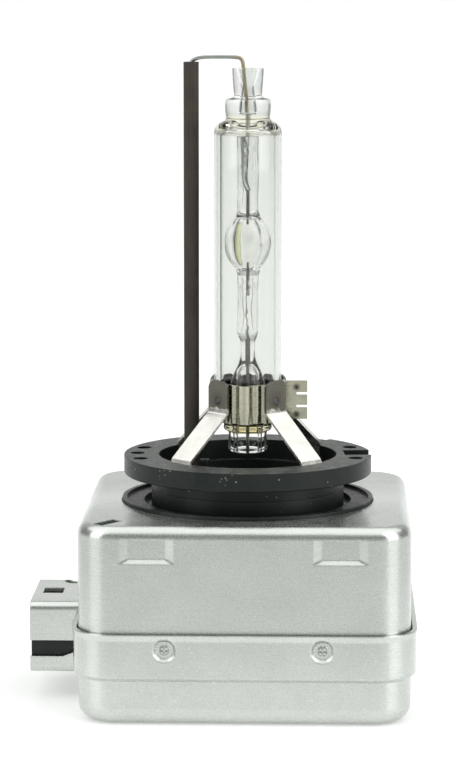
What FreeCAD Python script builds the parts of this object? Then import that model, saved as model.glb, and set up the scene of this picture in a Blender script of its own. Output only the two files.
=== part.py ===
"""Gas-discharge headlight bulb with its igniter in a sheet-metal box.

All sizes are in millimetres. The origin is the centre of the cap ring's top
face, the datum that such lamps are measured from. +Z runs along the burner,
away from the box; the connector leaves the box towards -X; the front is -Y.
"""

import FreeCAD, Part
import math
import os

from FreeCAD import Vector

os.makedirs("parts", exist_ok=True)

# ---- driving sizes: cap ring and neck -------------------------------------
ring_r = 16.0
ring_thick = 2.35
ring_bore_r = 11.5
neck_r = 12.45
skirt_length = 1.85
spigot_wall = 0.85
fit_gap = 0.05
rim_chamfer = 0.15
key_width = 3.6
key_depth = 1.0
key_reach = 3.5
pit_r = 0.95
pit_circle_r = 14.3
pit_depth = 0.8

# ---- driving sizes: sheet-metal box ---------------------------------------
box_width = 41.7
box_depth = 43.2
box_height = 25.1
box_shift_y = 0.6
box_below_ring = 5.9
sheet = 0.6
box_corner_r = 4.8
cover_edge_r = 1.5
pan_edge_r = 2.2
pan_height = 11.7
pan_step_height = 5.75
lip_flare = 0.16
lip_height = 0.8
cover_hole_r = 16.3

# ---- driving sizes: features pressed into the box -------------------------
stake_spacing = 19.6
stake_height = 9.75
stake_r = 1.5
stake_depth = 0.4
stake_button_r = 0.65
stake_cross = 0.22
pad_spacing = 24.0
pad_width = 6.8
pad_drop = 1.5
pad_height = 3.1
pad_slope = 1.1
pad_foot_slope = 0.55
pad_depth = 0.45
pad_corner_r = 0.5
slot_length = 4.0
slot_width = 1.7
slot_inset = (3.9, 3.7)
slot_angle = 52.0

# ---- driving sizes: connector ---------------------------------------------
conn_width = 15.3
conn_height = 9.2
conn_reach = 6.9
conn_above_floor = 3.55
conn_upper_wall = 4.95
conn_lower_wall = 2.15
conn_ramp = (1.3, 0.5)
conn_ramp_start = 4.2
conn_bend_r = 1.0
socket_wall = 1.1
socket_depth = 7.6
socket_recess = 0.12
pin_recess = 4.3
pin_width = 1.8
pin_thick = 0.8
pin_pitch = 3.6
flange_thick = 1.2
window = (2.6, 3.4)
window_inset = 2.45
relief_r = 1.5
relief_inset = (2.0, 1.75)

# ---- driving sizes: igniter housing and what it holds ---------------------
housing_gap = 0.45
housing_wall = 1.4
roof_thick = 1.8
base_thick = 1.2
disc_lip_width = 0.55
disc_lip_height = 0.4
groove_width = 0.95
groove_depth = 0.7
chimney_r = 2.4
chimney_height = 3.4
coil_gap = 0.8
bobbin_tube_r = 4.1
bobbin_flange_r = 7.0
bobbin_flange = 0.9
bobbin_cheek = 1.6
chamber_count = 5
core_r = 3.0
secondary_r = 6.2
primary_thick = 0.5
primary_turns = 12
strip_thick = 0.4
strip_width = 1.2
strip_lift = 0.4
capacitor_size = (12.0, 6.5, 8.5)
spark_gap_r = 3.5
spark_gap_length = 8.5
spark_cap_length = 1.4
resistor_r = 1.2
resistor_length = 5.4
resistor_lead_r = 0.3
potting_depth = 4.0

# ---- driving sizes: burner ------------------------------------------------
light_centre = 27.4
arc_gap = 4.3
bulb_r = 4.35
bulb_wall = 0.93
bulb_top = 42.3
bulb_bottom = 3.1
collar_r = 2.96
collar_height = 2.45
rim_r = 3.13
tip_r = 2.03
tip_length = 3.85
tip_bore_r = 1.12
tail_end = 0.35
tail_r = 2.5
tail_bore_r = 1.45
tail_dome = 11.75
leg_tube_r = 1.34
vessel_r = 3.0
vessel_half = 4.06
cavity_r = 1.62
cavity_half = 3.25
electrode_r = 0.15
electrode_root = 4.6
foil_width = 0.9
foil_narrow = 0.5
foil_thick = 0.06
upper_foil_top = 41.2
lower_foil_bottom = 15.2
lead_r = 0.22
salt_thick = 0.12

# ---- driving sizes: return wire, clamp and legs ---------------------------
rod_x = -7.25
rod_r = 0.98
rod_bore_r = 0.3
rod_top = 50.5
wire_r = 0.24
wire_rise = 0.66
wire_slope = 0.2
wire_drop = (-0.75, -0.15)
wire_bend_r = 0.8
band_bottom = 4.6
band_height = 4.95
band_thick = 0.25
band_wave = 0.3
band_pleats = 20
band_turn = -3.6
flute_depth = 0.95
flute_flat = 0.3
flute_fall = 0.85
ear_length = 2.75
ear_slot = 0.36
ear_slot_length = 1.4
ear_hole_r = 0.22
leg_width = 3.5
leg_thick = 0.35
leg_top = 9.95
leg_bend_z = 5.9
leg_bend_r = 0.9
leg_corner_r = 1.0
foot_depth = 1.9
weld_r = 0.45
weld_height = 0.1

# ---- places worked out from the sizes -------------------------------------
well_r = ring_bore_r - fit_gap - spigot_wall
cover_top = -box_below_ring
floor_z = cover_top - box_height
lip_z = floor_z + pan_height
step_z = floor_z + pan_step_height
left_x = -box_width / 2
front_y = box_shift_y - box_depth / 2
back_y = box_shift_y + box_depth / 2
conn_bottom = floor_z + conn_above_floor
conn_top = conn_bottom + conn_height
conn_end = left_x - conn_reach
tray_top = conn_bottom + conn_lower_wall + conn_ramp[1]
inset = sheet + housing_gap
base_top = floor_z + sheet + base_thick
roof_top = cover_top - sheet
roof_under = roof_top - roof_thick
well_floor = roof_under + housing_wall
wall_in = inset + housing_wall
in_x0 = left_x + wall_in
in_x1 = -in_x0
in_y0 = front_y + wall_in
in_y1 = back_y - wall_in
coil_r = bobbin_flange_r + primary_thick
coil_x = in_x1 - coil_gap - coil_r
strip_low = base_top + strip_lift
strip_top = strip_low + strip_thick
coil_z = strip_top + coil_r
cheek_y0 = in_y0 + coil_gap
cheek_y1 = in_y1 - coil_gap
chamber = (cheek_y1 - cheek_y0 - 2 * bobbin_cheek - (chamber_count - 1) * bobbin_flange) / chamber_count
pin_z = (conn_top + conn_bottom) / 2
pin_tip = conn_end + socket_recess + pin_recess
pin_root = in_x0 + flange_thick + 1.5
rod_bottom = roof_under - 1.0
wire_end = rod_bottom - 3.0
collar_low = bulb_top + 1.15
collar_top = collar_low + collar_height
tip_top = collar_top + tip_length
tip_floor = collar_low + 0.5
band_r = bulb_r + fit_gap
tab_r = band_r + band_wave + band_thick
ear_reach = tab_r + ear_length
lead_end = roof_under - 4.0


# ---- helpers ---------------------------------------------------------------
def save(shape, name):
    """Write one sub-part as its own STEP file."""
    shape.exportStep("parts/" + name + ".step")
    print(name, len(shape.Solids), "solid(s),", round(shape.Volume, 2), "mm3, valid", shape.isValid())


def block(x0, x1, y0, y1, z0, z1):
    """A plain block between two corners."""
    return Part.makeBox(x1 - x0, y1 - y0, z1 - z0, Vector(x0, y0, z0))


def rod(r, z0, z1, x=0.0, y=0.0):
    """An upright cylinder."""
    return Part.makeCylinder(r, z1 - z0, Vector(x, y, z0))


def rod_along(r, start, length, direction):
    """A cylinder along any axis."""
    return Part.makeCylinder(r, length, start, direction)


def rounded_rectangle(x0, x1, y0, y1, r, z):
    """A flat outline with round corners, drawn at height z."""
    k = r * (1 - math.sqrt(0.5))
    lines = [
        Part.LineSegment(Vector(x0 + r, y0, z), Vector(x1 - r, y0, z)),
        Part.Arc(Vector(x1 - r, y0, z), Vector(x1 - k, y0 + k, z), Vector(x1, y0 + r, z)),
        Part.LineSegment(Vector(x1, y0 + r, z), Vector(x1, y1 - r, z)),
        Part.Arc(Vector(x1, y1 - r, z), Vector(x1 - k, y1 - k, z), Vector(x1 - r, y1, z)),
        Part.LineSegment(Vector(x1 - r, y1, z), Vector(x0 + r, y1, z)),
        Part.Arc(Vector(x0 + r, y1, z), Vector(x0 + k, y1 - k, z), Vector(x0, y1 - r, z)),
        Part.LineSegment(Vector(x0, y1 - r, z), Vector(x0, y0 + r, z)),
        Part.Arc(Vector(x0, y0 + r, z), Vector(x0 + k, y0 + k, z), Vector(x0 + r, y0, z)),
    ]
    return Part.Wire([line.toShape() for line in lines])


def box_outline(shrink, z):
    """The box's plan outline, pulled in all round by shrink."""
    return rounded_rectangle(left_x + shrink, -left_x - shrink, front_y + shrink, back_y - shrink,
                             box_corner_r - shrink, z)


def box_prism(shrink, z0, z1):
    """A prism on the box's outline, pulled in all round by shrink."""
    return Part.Face(box_outline(shrink, z0)).extrude(Vector(0, 0, z1 - z0))


def edges_at(shape, z):
    """Edges that lie wholly in the plane at height z."""
    return [e for e in shape.Edges if abs(e.BoundBox.ZMin - z) < 1e-6 and abs(e.BoundBox.ZMax - z) < 1e-6]


def turned(edges):
    """Turn a closed outline in the XZ plane about the burner's axis."""
    face = Part.Face(Part.Wire(edges))
    return face.revolve(Vector(0, 0, 0), Vector(0, 0, 1), 360)


def at(r, z):
    """A point of a turned outline."""
    return Vector(r, 0, z)


def line(a, b):
    """A straight edge."""
    return Part.LineSegment(a, b).toShape()


def chain(points):
    """Straight edges through the points in order."""
    return [line(a, b) for a, b in zip(points, points[1:])]


def smooth(points):
    """One smooth edge through the points."""
    curve = Part.BSplineCurve()
    curve.interpolate(points)
    return curve.toShape()


def ellipsoid(r, half, z):
    """An egg-shaped solid of revolution about the burner's axis."""
    ellipse = Part.Ellipse(Vector(0, 0, z + half), Vector(r, 0, z), Vector(0, 0, z))
    arc = Part.ArcOfEllipse(ellipse, 0, math.pi).toShape()
    ends = [v.Point for v in arc.Vertexes]
    return turned([arc, line(ends[-1], ends[0])])


def bent_strip(points, thick, bend_r):
    """Outline of a bent strip in the XZ plane, with its centre line through the points."""
    sides = []
    for sign in (1, -1):
        sides.append(round_corners(offset_points(points, sign * thick / 2), points, bend_r, sign * thick / 2))
    first, second = sides
    start_a, end_a = first[0].Vertexes[0].Point, first[-1].Vertexes[-1].Point
    start_b, end_b = second[0].Vertexes[0].Point, second[-1].Vertexes[-1].Point
    return Part.Wire(first + [line(end_a, end_b)] + second[::-1] + [line(start_b, start_a)])


def left_normal(a, b):
    """Unit normal to the left of the run from a to b, in the XZ plane."""
    run = (b - a).normalize()
    return Vector(-run.z, 0, run.x)


def offset_points(points, distance):
    """The same path moved sideways, with mitred corners."""
    moved = [points[0] + left_normal(points[0], points[1]) * distance]
    for a, b, c in zip(points, points[1:], points[2:]):
        n1, n2 = left_normal(a, b), left_normal(b, c)
        moved.append(b + (n1 + n2) * (distance / (1 + n1.dot(n2))))
    moved.append(points[-1] + left_normal(points[-2], points[-1]) * distance)
    return moved


def round_corners(corners, centre_line, bend_r, side):
    """Runs and tangent arcs along the corners, each arc concentric with the centre line's."""
    edges = []
    here = corners[0]
    for i in range(1, len(corners) - 1):
        a, b, c = centre_line[i - 1], centre_line[i], centre_line[i + 1]
        turn_left = left_normal(a, b).dot(c - b) > 0
        r = bend_r - side if turn_left else bend_r + side
        back, on = (corners[i - 1] - corners[i]).normalize(), (corners[i + 1] - corners[i]).normalize()
        half = back.getAngle(on) / 2
        reach = r / math.tan(half)
        p, q = corners[i] + back * reach, corners[i] + on * reach
        middle = corners[i] + (back + on).normalize() * (r / math.sin(half) - r)
        edges.append(line(here, p))
        edges.append(Part.Arc(p, middle, q).toShape())
        here = q
    edges.append(line(here, corners[-1]))
    return edges


def turn(shape, degrees):
    """A copy turned about the burner's axis."""
    copy = shape.copy()
    copy.rotate(Vector(0, 0, 0), Vector(0, 0, 1), degrees)
    return copy


# ---- sheet-metal box -------------------------------------------------------
def stake(face_y, outward):
    """A clinch point's dished recess round a cross-slotted button, sunk from a wall's outer face."""
    dishes = []
    outwards = Vector(0, outward, 0)
    height = stake_depth * 0.75
    for x in (-stake_spacing / 2, stake_spacing / 2):
        z = floor_z + stake_height
        bottom = Vector(x, face_y - outward * stake_depth, z)
        dish = Part.makeCone(stake_r * 0.72, stake_r, stake_depth, bottom, outwards)
        button = Part.makeCone(stake_button_r, stake_button_r * 0.7, height, bottom, outwards)
        deep = sorted((bottom.y, bottom.y + outward * height))
        across = block(x - stake_r, x + stake_r, deep[0], deep[1], z - stake_cross / 2, z + stake_cross / 2)
        upright = block(x - stake_cross / 2, x + stake_cross / 2, deep[0], deep[1], z - stake_r, z + stake_r)
        dishes.append(dish.cut(button.cut([across, upright])))
    return Part.makeCompound(dishes)


def pads(face_y, outward):
    """Two locking dents pressed into the cover's wall, with sloping sides and a sloping foot."""
    dents = []
    top = cover_top - pad_drop
    wide = pad_width / 2
    low = top - pad_height
    for x in (-pad_spacing / 2, pad_spacing / 2):
        loops = []
        for half, foot, y in ((wide, low, face_y),
                              (wide - pad_slope, low + pad_foot_slope, face_y - outward * pad_depth)):
            corners = [Vector(x - half, y, foot), Vector(x + half, y, foot),
                       Vector(x + half, y, top), Vector(x - half, y, top)]
            loops.append(Part.makePolygon(corners + corners[:1]))
        dent = Part.makeLoft(loops, True, True)
        sides = [e for e in dent.Edges if e.BoundBox.YLength > 0.5 * pad_depth]
        foot_corners = [e for e in sides if e.BoundBox.ZMin < low + 0.1]
        dents.append(dent.makeFillet(pad_corner_r, foot_corners))
    return Part.makeCompound(dents)


def moved_y(shape, dy):
    """A copy moved along Y."""
    copy = shape.copy()
    copy.translate(Vector(0, dy, 0))
    return copy


def connector_sleeve(low, high, shrink, open_low):
    """The rectangular sleeve round the connector, between two heights."""
    half = conn_width / 2 - shrink
    sleeve = block(conn_end, left_x + sheet, -half, half, low, high)
    bend = conn_bend_r - shrink
    z = high if open_low else low
    edges = [e for e in edges_at(sleeve, z) if e.BoundBox.XLength > 1]
    return sleeve.makeFillet(bend, edges)


def top_cover():
    """Drawn cover with a round hole for the cap and a channel over the connector."""
    outside = box_prism(0, step_z + sheet, cover_top)
    outside = outside.makeFillet(cover_edge_r, edges_at(outside, cover_top))
    inside = box_prism(sheet, step_z - sheet, cover_top - sheet)
    inside = inside.makeFillet(cover_edge_r - sheet, edges_at(inside, cover_top - sheet))
    shell = outside.cut(inside)

    dents = [pads(front_y, -1), pads(back_y, 1), stake(front_y, -1), stake(back_y, 1)]
    bumps = [moved_y(dent, dy) for dent, dy in zip(dents, (sheet, -sheet, sheet, -sheet))]
    shell = shell.fuse(bumps).cut(dents)

    wall_low = conn_top - conn_upper_wall
    channel = connector_sleeve(wall_low, conn_top, 0, True)
    hollow = connector_sleeve(wall_low - sheet, conn_top - sheet, sheet, True)
    half = conn_width / 2 - sheet
    mouth = block(left_x - sheet, left_x + 2 * sheet, -half, half, step_z - sheet, conn_top - sheet)
    shell = shell.fuse(channel).cut([hollow, mouth])

    window_x = conn_end + window_inset
    window_cut = block(window_x - window[0] / 2, window_x + window[0] / 2, -window[1] / 2, window[1] / 2,
                       conn_top - 2 * sheet, conn_top + sheet)
    relief = rod(relief_r, conn_top - 2 * sheet, conn_top + sheet, left_x - relief_inset[0],
                 conn_width / 2 - relief_inset[1])
    slot = block(-slot_length / 2, slot_length / 2, -slot_width / 2, slot_width / 2,
                 cover_top - 3 * sheet, cover_top + sheet)
    slot.rotate(Vector(0, 0, 0), Vector(0, 0, 1), slot_angle)
    slot.translate(Vector(left_x + slot_inset[0], front_y + slot_inset[1], 0))
    hole = rod(cover_hole_r, cover_top - 2 * sheet, cover_top + sheet)
    return shell.cut([window_cut, relief, slot, hole]).removeSplitter()


def flared(shrink, z0, z1):
    """A short stretch of the pan's wall that leans outwards."""
    return Part.makeLoft([box_outline(shrink, z0), box_outline(shrink - lip_flare, z1)], True, True)


def bottom_pan():
    """Drawn pan whose widened rim laps over the cover."""
    rim = sheet + fit_gap
    tray = box_prism(0, floor_z, step_z + sheet)
    tray = tray.makeFillet(pan_edge_r, edges_at(tray, floor_z))
    band = box_prism(-rim, step_z, lip_z - lip_height)
    band = band.makeChamfer(0.45, edges_at(band, step_z))
    outside = tray.fuse([band, flared(-rim, lip_z - lip_height, lip_z)])
    cavity = box_prism(sheet, floor_z + sheet, step_z + sheet)
    cavity = cavity.makeFillet(pan_edge_r - sheet, edges_at(cavity, floor_z + sheet))
    lap = box_prism(-fit_gap, step_z + sheet, lip_z - lip_height)
    shell = outside.cut([cavity, lap, flared(-fit_gap, lip_z - lip_height, lip_z)])

    front, back = front_y - rim, back_y + rim
    dents = [stake(front, -1), stake(back, 1)]
    bumps = [moved_y(dents[0], sheet), moved_y(dents[1], -sheet)]
    shell = shell.fuse(bumps).cut(dents)

    shell = shell.fuse(connector_tray())
    half = conn_width / 2 + fit_gap
    gate = block(left_x - 2 * sheet, left_x, -half, half, tray_top, lip_z + sheet)
    mouth_half = conn_width / 2 - sheet
    mouth = block(left_x - 2 * sheet, left_x + 2 * sheet, -mouth_half, mouth_half, conn_bottom + sheet, lip_z)
    return shell.cut([gate, mouth]).removeSplitter()


def connector_tray():
    """The pan's shallow channel under the connector, higher where it meets the box."""
    low_wall = tray_top - conn_ramp[1]
    tray = connector_sleeve(conn_bottom, tray_top, 0, False)
    hollow = connector_sleeve(conn_bottom + sheet, tray_top + sheet, sheet, False)
    ramp_x = conn_end + conn_ramp_start
    reach = conn_width
    ramp_end = ramp_x + conn_ramp[0]
    profile = [Vector(conn_end - 1, -reach, low_wall), Vector(ramp_x, -reach, low_wall),
               Vector(ramp_end, -reach, tray_top), Vector(ramp_end, -reach, tray_top + 1),
               Vector(conn_end - 1, -reach, tray_top + 1)]
    above = Part.Face(Part.makePolygon(profile + profile[:1])).extrude(Vector(0, 2 * reach, 0))
    return tray.cut([hollow, above])


# ---- cap -------------------------------------------------------------------
def cap_ring():
    """Locating ring with a short skirt that slides over the housing's neck."""
    ring = rod(ring_r, -ring_thick, 0)
    ring = ring.makeChamfer(rim_chamfer, edges_at(ring, -ring_thick))
    ring = ring.fuse(rod(neck_r, -ring_thick - skirt_length, -ring_thick))
    ring = ring.cut(rod(ring_bore_r, -ring_thick - 2 * skirt_length, 1))
    key = block(ring_r - key_reach, ring_r + 1, -key_width / 2, key_width / 2, -key_depth, 1)
    cuts = [turn(key, 4.6)]
    for azimuth in (4.6 - 17.5, 4.6 + 17.5, 162.5, 180.0, 197.5):
        cuts.append(turn(rod(pit_r, -pit_depth, 1, pit_circle_r, 0), azimuth))
    cuts.append(turn(block(ring_r - 0.9, ring_r + 1, -1.1, 1.1, -0.9, 1), 52))
    flat = block(ring_r * math.cos(math.radians(7.6)), ring_r + 1, -3, 3, -ring_thick, 1)
    cuts.append(turn(flat, -105.2))
    cuts += [foot_pocket(azimuth) for azimuth in leg_azimuths]
    return ring.cut(cuts).removeSplitter()


leg_azimuths = (-135, -45, 45, 135)


def foot_pocket(azimuth):
    """The slot in the ring's bore that a leg's foot is moulded into."""
    pocket = block(ring_bore_r - 1, ring_bore_r + leg_thick, -leg_width / 2, leg_width / 2, -foot_depth, 1)
    return turn(pocket, azimuth)


def igniter_housing():
    """Moulded box, open below, with the disc, groove and neck that carry the cap ring."""
    body = box_prism(inset, base_top, roof_top)
    body = body.makeChamfer(1.0, edges_at(body, roof_top))
    disc_r = cover_hole_r - 2 * fit_gap
    body = body.fuse([rod(disc_r, roof_top - 1.0, cover_top),
                      rod(disc_r, cover_top, cover_top + disc_lip_height)])
    body = body.cut(rod(disc_r - disc_lip_width, cover_top, cover_top + 1))
    body = body.cut(rod(neck_r + groove_width, cover_top - groove_depth, cover_top + 1))
    neck_top = -ring_thick - skirt_length
    skirt = rod(ring_bore_r - fit_gap, neck_top, -ring_thick - 0.2)
    body = body.fuse([rod(neck_r, well_floor, neck_top), skirt])
    body = body.cut(rod(well_r, well_floor, 0))
    chimney = rod(chimney_r, well_floor, well_floor + chimney_height)
    socket = rod(rod_r + 0.8, well_floor, well_floor + 1.2, rod_x)
    body = body.fuse([chimney, socket])
    cavity = box_prism(wall_in, base_top - 1, roof_under)
    conn_half = conn_width / 2 - sheet
    opening = block(left_x, in_x0 + 1, -conn_half, conn_half, conn_bottom + sheet, conn_top - sheet)
    bore = rod(lead_r + fit_gap, roof_under - 1, 0)
    rod_hole = rod(rod_r + fit_gap, roof_under - 1, 0, rod_x)
    return body.cut([cavity, opening, bore, rod_hole]).removeSplitter()


def housing_base():
    """Plastic plate that closes the housing and stands on the pan's floor."""
    upper = box_prism(inset, base_top - base_thick / 2, base_top)
    lower = box_prism(pan_edge_r + fit_gap, floor_z + sheet, base_top - base_thick / 2)
    return upper.fuse(lower).removeSplitter()


# ---- connector -------------------------------------------------------------
def connector_housing():
    """Insulating socket with a flange that holds it inside the housing's wall."""
    half = conn_width / 2 - sheet - fit_gap
    low, high = conn_bottom + sheet + fit_gap, conn_top - sheet - fit_gap
    mouth = conn_end + socket_recess
    body = block(mouth, in_x0, -half, half, low, high)
    body = body.makeFillet(0.35, [e for e in body.Edges if e.BoundBox.XLength > 1])
    flange = block(in_x0, in_x0 + flange_thick, -half - 0.9, half + 0.9, low - 0.6, high + 0.6)
    cavity = block(mouth, mouth + socket_depth, -half + socket_wall, half - socket_wall,
                   low + socket_wall, high - socket_wall)
    cavity = cavity.makeFillet(0.6, [e for e in cavity.Edges if e.BoundBox.XLength > 1])
    rib_low = high - socket_wall - 0.6
    key_ribs = [block(mouth + 0.8, mouth + socket_depth, y - 0.4, y + 0.4, rib_low, high - 0.5)
                for y in (-pin_pitch / 2, pin_pitch / 2)]
    holes = [block(pin_tip, pin_root, y - pin_width / 2, y + pin_width / 2, pin_z - pin_thick / 2,
                   pin_z + pin_thick / 2) for y in (-pin_pitch, 0, pin_pitch)]
    return body.fuse(flange).cut(cavity).fuse(key_ribs).cut(holes).removeSplitter()


def contact_pin(y):
    """One blade with a tapered tip, turned down inside the housing to a strip."""
    half = pin_width / 2
    blade = block(pin_tip, pin_root, y - half, y + half, pin_z - pin_thick / 2, pin_z + pin_thick / 2)
    tip = [e for e in blade.Edges if e.BoundBox.XMax < pin_tip + 1e-6]
    blade = blade.makeChamfer(0.25, tip)
    drop = block(pin_root - pin_thick, pin_root, y - half, y + half, strip_top, pin_z + pin_thick / 2)
    return blade.fuse(drop).removeSplitter()


# ---- inside the housing ----------------------------------------------------
def strip_path(points):
    """A flat strip laid along the plan points just above the base plate."""
    half = strip_width / 2
    runs = []
    for (x0, y0), (x1, y1) in zip(points, points[1:]):
        runs.append(block(min(x0, x1) - half, max(x0, x1) + half, min(y0, y1) - half, max(y0, y1) + half,
                          strip_low, strip_top))
    return runs[0].fuse(runs[1:]).removeSplitter() if len(runs) > 1 else runs[0]


def coil_bobbin():
    """Chambered former: a tube with flanges and two end cheeks that stand on the base plate."""
    axis = Vector(0, 1, 0)
    length = cheek_y1 - cheek_y0
    former = rod_along(bobbin_tube_r, Vector(coil_x, cheek_y0, coil_z), length, axis)
    pieces = []
    for y in (cheek_y0, cheek_y1 - bobbin_cheek):
        pieces.append(block(coil_x - bobbin_flange_r, coil_x + bobbin_flange_r, y, y + bobbin_cheek,
                            base_top, coil_z + bobbin_flange_r))
    for i in range(1, chamber_count):
        y = chamber_start(i) - bobbin_flange
        pieces.append(rod_along(bobbin_flange_r, Vector(coil_x, y, coil_z), bobbin_flange, axis))
    bore = rod_along(core_r + fit_gap, Vector(coil_x, cheek_y0 - 1, coil_z), length + 2, axis)
    return former.fuse(pieces).cut(bore).removeSplitter()


def chamber_start(i):
    """Where the bobbin's winding chamber number i begins, along Y."""
    return cheek_y0 + bobbin_cheek + i * (chamber + bobbin_flange)


def ferrite_core():
    """Rod core that fills the bobbin's bore."""
    return rod_along(core_r, Vector(coil_x, cheek_y0, coil_z), cheek_y1 - cheek_y0, Vector(0, 1, 0))


def ring_solid(outer, inner, y, length):
    """A turned sleeve round the coil's axis."""
    axis = Vector(0, 1, 0)
    start = Vector(coil_x, y, coil_z)
    return rod_along(outer, start, length, axis).cut(rod_along(inner, start, length, axis))


def secondary_winding():
    """Fine-wire sections, one in each chamber."""
    return Part.makeCompound([ring_solid(secondary_r, bobbin_tube_r, chamber_start(i), chamber)
                              for i in range(chamber_count)])


def primary_winding():
    """Flat copper turns wound over the bobbin's middle flanges."""
    start = chamber_start(1) - bobbin_flange
    end = chamber_start(chamber_count - 1)
    pitch = (end - start) / primary_turns
    return Part.makeCompound([ring_solid(coil_r, bobbin_flange_r, start + i * pitch + 0.15, pitch - 0.3)
                              for i in range(primary_turns)])


def capacitor():
    """Ignition capacitor, standing on its strip in the front left corner."""
    x, y = in_x0 + coil_gap, in_y0 + coil_gap
    body = block(x, x + capacitor_size[0], y, y + capacitor_size[1], strip_top, strip_top + capacitor_size[2])
    return body.makeFillet(0.6, [e for e in body.Edges if e.BoundBox.ZLength > 1])


spark_x = in_x0 + 3.0
spark_y = in_y1 - coil_gap - spark_gap_r
spark_z = strip_top + spark_gap_r


def spark_gap_body():
    """Ceramic sleeve of the gas-filled spark gap."""
    start = Vector(spark_x + spark_cap_length, spark_y, spark_z)
    length = spark_gap_length - 2 * spark_cap_length
    sleeve = rod_along(spark_gap_r, start, length, Vector(1, 0, 0))
    return sleeve.cut(rod_along(spark_gap_r - 1.0, start, length, Vector(1, 0, 0)))


def spark_gap_caps():
    """Two metal end caps with electrodes that nearly meet inside the sleeve."""
    caps = []
    reach = (spark_gap_length - 2 * spark_cap_length) / 2 - 0.4
    for x, way in ((spark_x, 1), (spark_x + spark_gap_length, -1)):
        along = Vector(way, 0, 0)
        cap = rod_along(spark_gap_r, Vector(x, spark_y, spark_z), spark_cap_length, along)
        post = rod_along(1.2, Vector(x + way * spark_cap_length, spark_y, spark_z), reach, along)
        caps.append(cap.fuse(post).removeSplitter())
    return Part.makeCompound(caps)


lamp_run_y = -strip_width - 1.4
supply_y = in_y0 + coil_gap + capacitor_size[1] - strip_width
resistor_x = in_x0 + coil_gap + capacitor_size[0] + resistor_r + 0.4


def supply_strip():
    """Stamped strip from the front pin to the capacitor and resistor."""
    x = pin_root - strip_width / 2
    return strip_path([(x, -pin_pitch), (x, supply_y), (resistor_x, supply_y)])


def lamp_strip():
    """Stamped strip from the middle pin to the transformer's primary."""
    x = pin_root - strip_width / 2
    jog = rod_x - rod_r - 2 * strip_width
    return strip_path([(x, 0), (jog, 0), (jog, lamp_run_y), (coil_x, lamp_run_y)])


def return_strip():
    """Stamped strip from the back pin to the return post and the spark gap."""
    x = pin_root - strip_width / 2
    legs = strip_path([(x, pin_pitch), (rod_x, pin_pitch), (rod_x, 0)])
    return legs.fuse(strip_path([(x, pin_pitch), (x, spark_y)])).removeSplitter()


def return_terminal():
    """Crimp sleeve for the return wire on a post that stands on its strip."""
    sleeve = rod(0.9, wire_end, rod_bottom, rod_x).cut(rod(wire_r, wire_end, rod_bottom, rod_x))
    post = block(rod_x - 0.6, rod_x + 0.6, -0.25, 0.25, strip_top, wire_end)
    return sleeve.fuse(post).removeSplitter()


def bleed_resistor():
    """Film resistor between the supply strip and the lamp strip."""
    z = strip_top + resistor_r + 0.2
    ends = (supply_y, lamp_run_y)
    middle = (ends[0] + ends[1]) / 2
    body = rod_along(resistor_r, Vector(resistor_x, middle - resistor_length / 2, z), resistor_length,
                     Vector(0, 1, 0))
    lead = rod_along(resistor_lead_r, Vector(resistor_x, ends[0], z), ends[1] - ends[0], Vector(0, 1, 0))
    drops = [rod(resistor_lead_r, strip_top, z, resistor_x, y) for y in ends]
    return body.fuse([lead] + drops).removeSplitter()


def high_voltage_terminal():
    """Cup that takes the burner's lower lead, with an arm to the secondary's outer end."""
    cup = rod(0.9, lead_end, roof_under).cut(rod(lead_r, lead_end, roof_under))
    y = chamber_start(0) + chamber / 2
    stem = block(-0.4, 0.4, -0.4, 0.4, coil_z - 0.4, lead_end)
    arm = block(-0.4, 0.4, y - 0.4, 0.4, coil_z - 0.4, coil_z + 0.4)
    tab = block(-0.4, coil_x - secondary_r, y - 0.4, y + 0.4, coil_z - 0.4, coil_z + 0.4)
    return cup.fuse([stem, arm, tab]).removeSplitter()


def potting(neighbours):
    """Cast compound that fills the bottom of the housing round everything in it."""
    fill = box_prism(wall_in, base_top, base_top + potting_depth)
    return fill.cut(neighbours)


# ---- burner ----------------------------------------------------------------
def burner_outline():
    """The inner quartz body's outside, as one turned solid with no bores."""
    c = light_centre
    h = vessel_half
    half_span = h * math.sqrt(1 - (leg_tube_r * 0.92 / vessel_r) ** 2)
    vessel = [at(vessel_r * math.sqrt(1 - (s / h) ** 2), c + s)
              for s in [half_span * k / 6 for k in range(-6, 7)]]
    neck_low, neck_high = vessel[0].z, vessel[-1].z
    pinch = lower_foil_bottom - 1.6
    tail = smooth([at(tail_r, tail_dome - 3.1), at(tail_r * 0.8, tail_dome - 1.7), at(1.15, tail_dome + 0.3),
                   at(0.93, pinch - 0.6), at(0.93, pinch + 0.7), at(leg_tube_r, lower_foil_bottom + 0.5)])
    round_r = 0.35
    k = round_r * (1 - math.sqrt(0.5))
    edges = chain([at(0, tail_end), at(tail_r - round_r, tail_end)])
    edges.append(Part.Arc(at(tail_r - round_r, tail_end), at(tail_r - k, tail_end + k),
                          at(tail_r, tail_end + round_r)).toShape())
    edges.append(line(at(tail_r, tail_end + round_r), at(tail_r, tail_dome - 3.1)))
    edges.append(tail)
    edges.append(line(at(leg_tube_r, lower_foil_bottom + 0.5), at(leg_tube_r, neck_low - 0.6)))
    edges.append(line(at(leg_tube_r, neck_low - 0.6), vessel[0]))
    edges.append(smooth(vessel))
    edges.append(line(vessel[-1], at(leg_tube_r, neck_high + 0.6)))
    edges += chain([at(leg_tube_r, neck_high + 0.6), at(leg_tube_r, bulb_top - 1.2),
                    at(tip_r * 0.91, collar_low), at(tip_r * 0.91, collar_top), at(tip_r, tip_top - 0.2),
                    at(tip_r - 0.2, tip_top), at(0, tip_top), at(0, tail_end)])
    return turned(edges)


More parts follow.
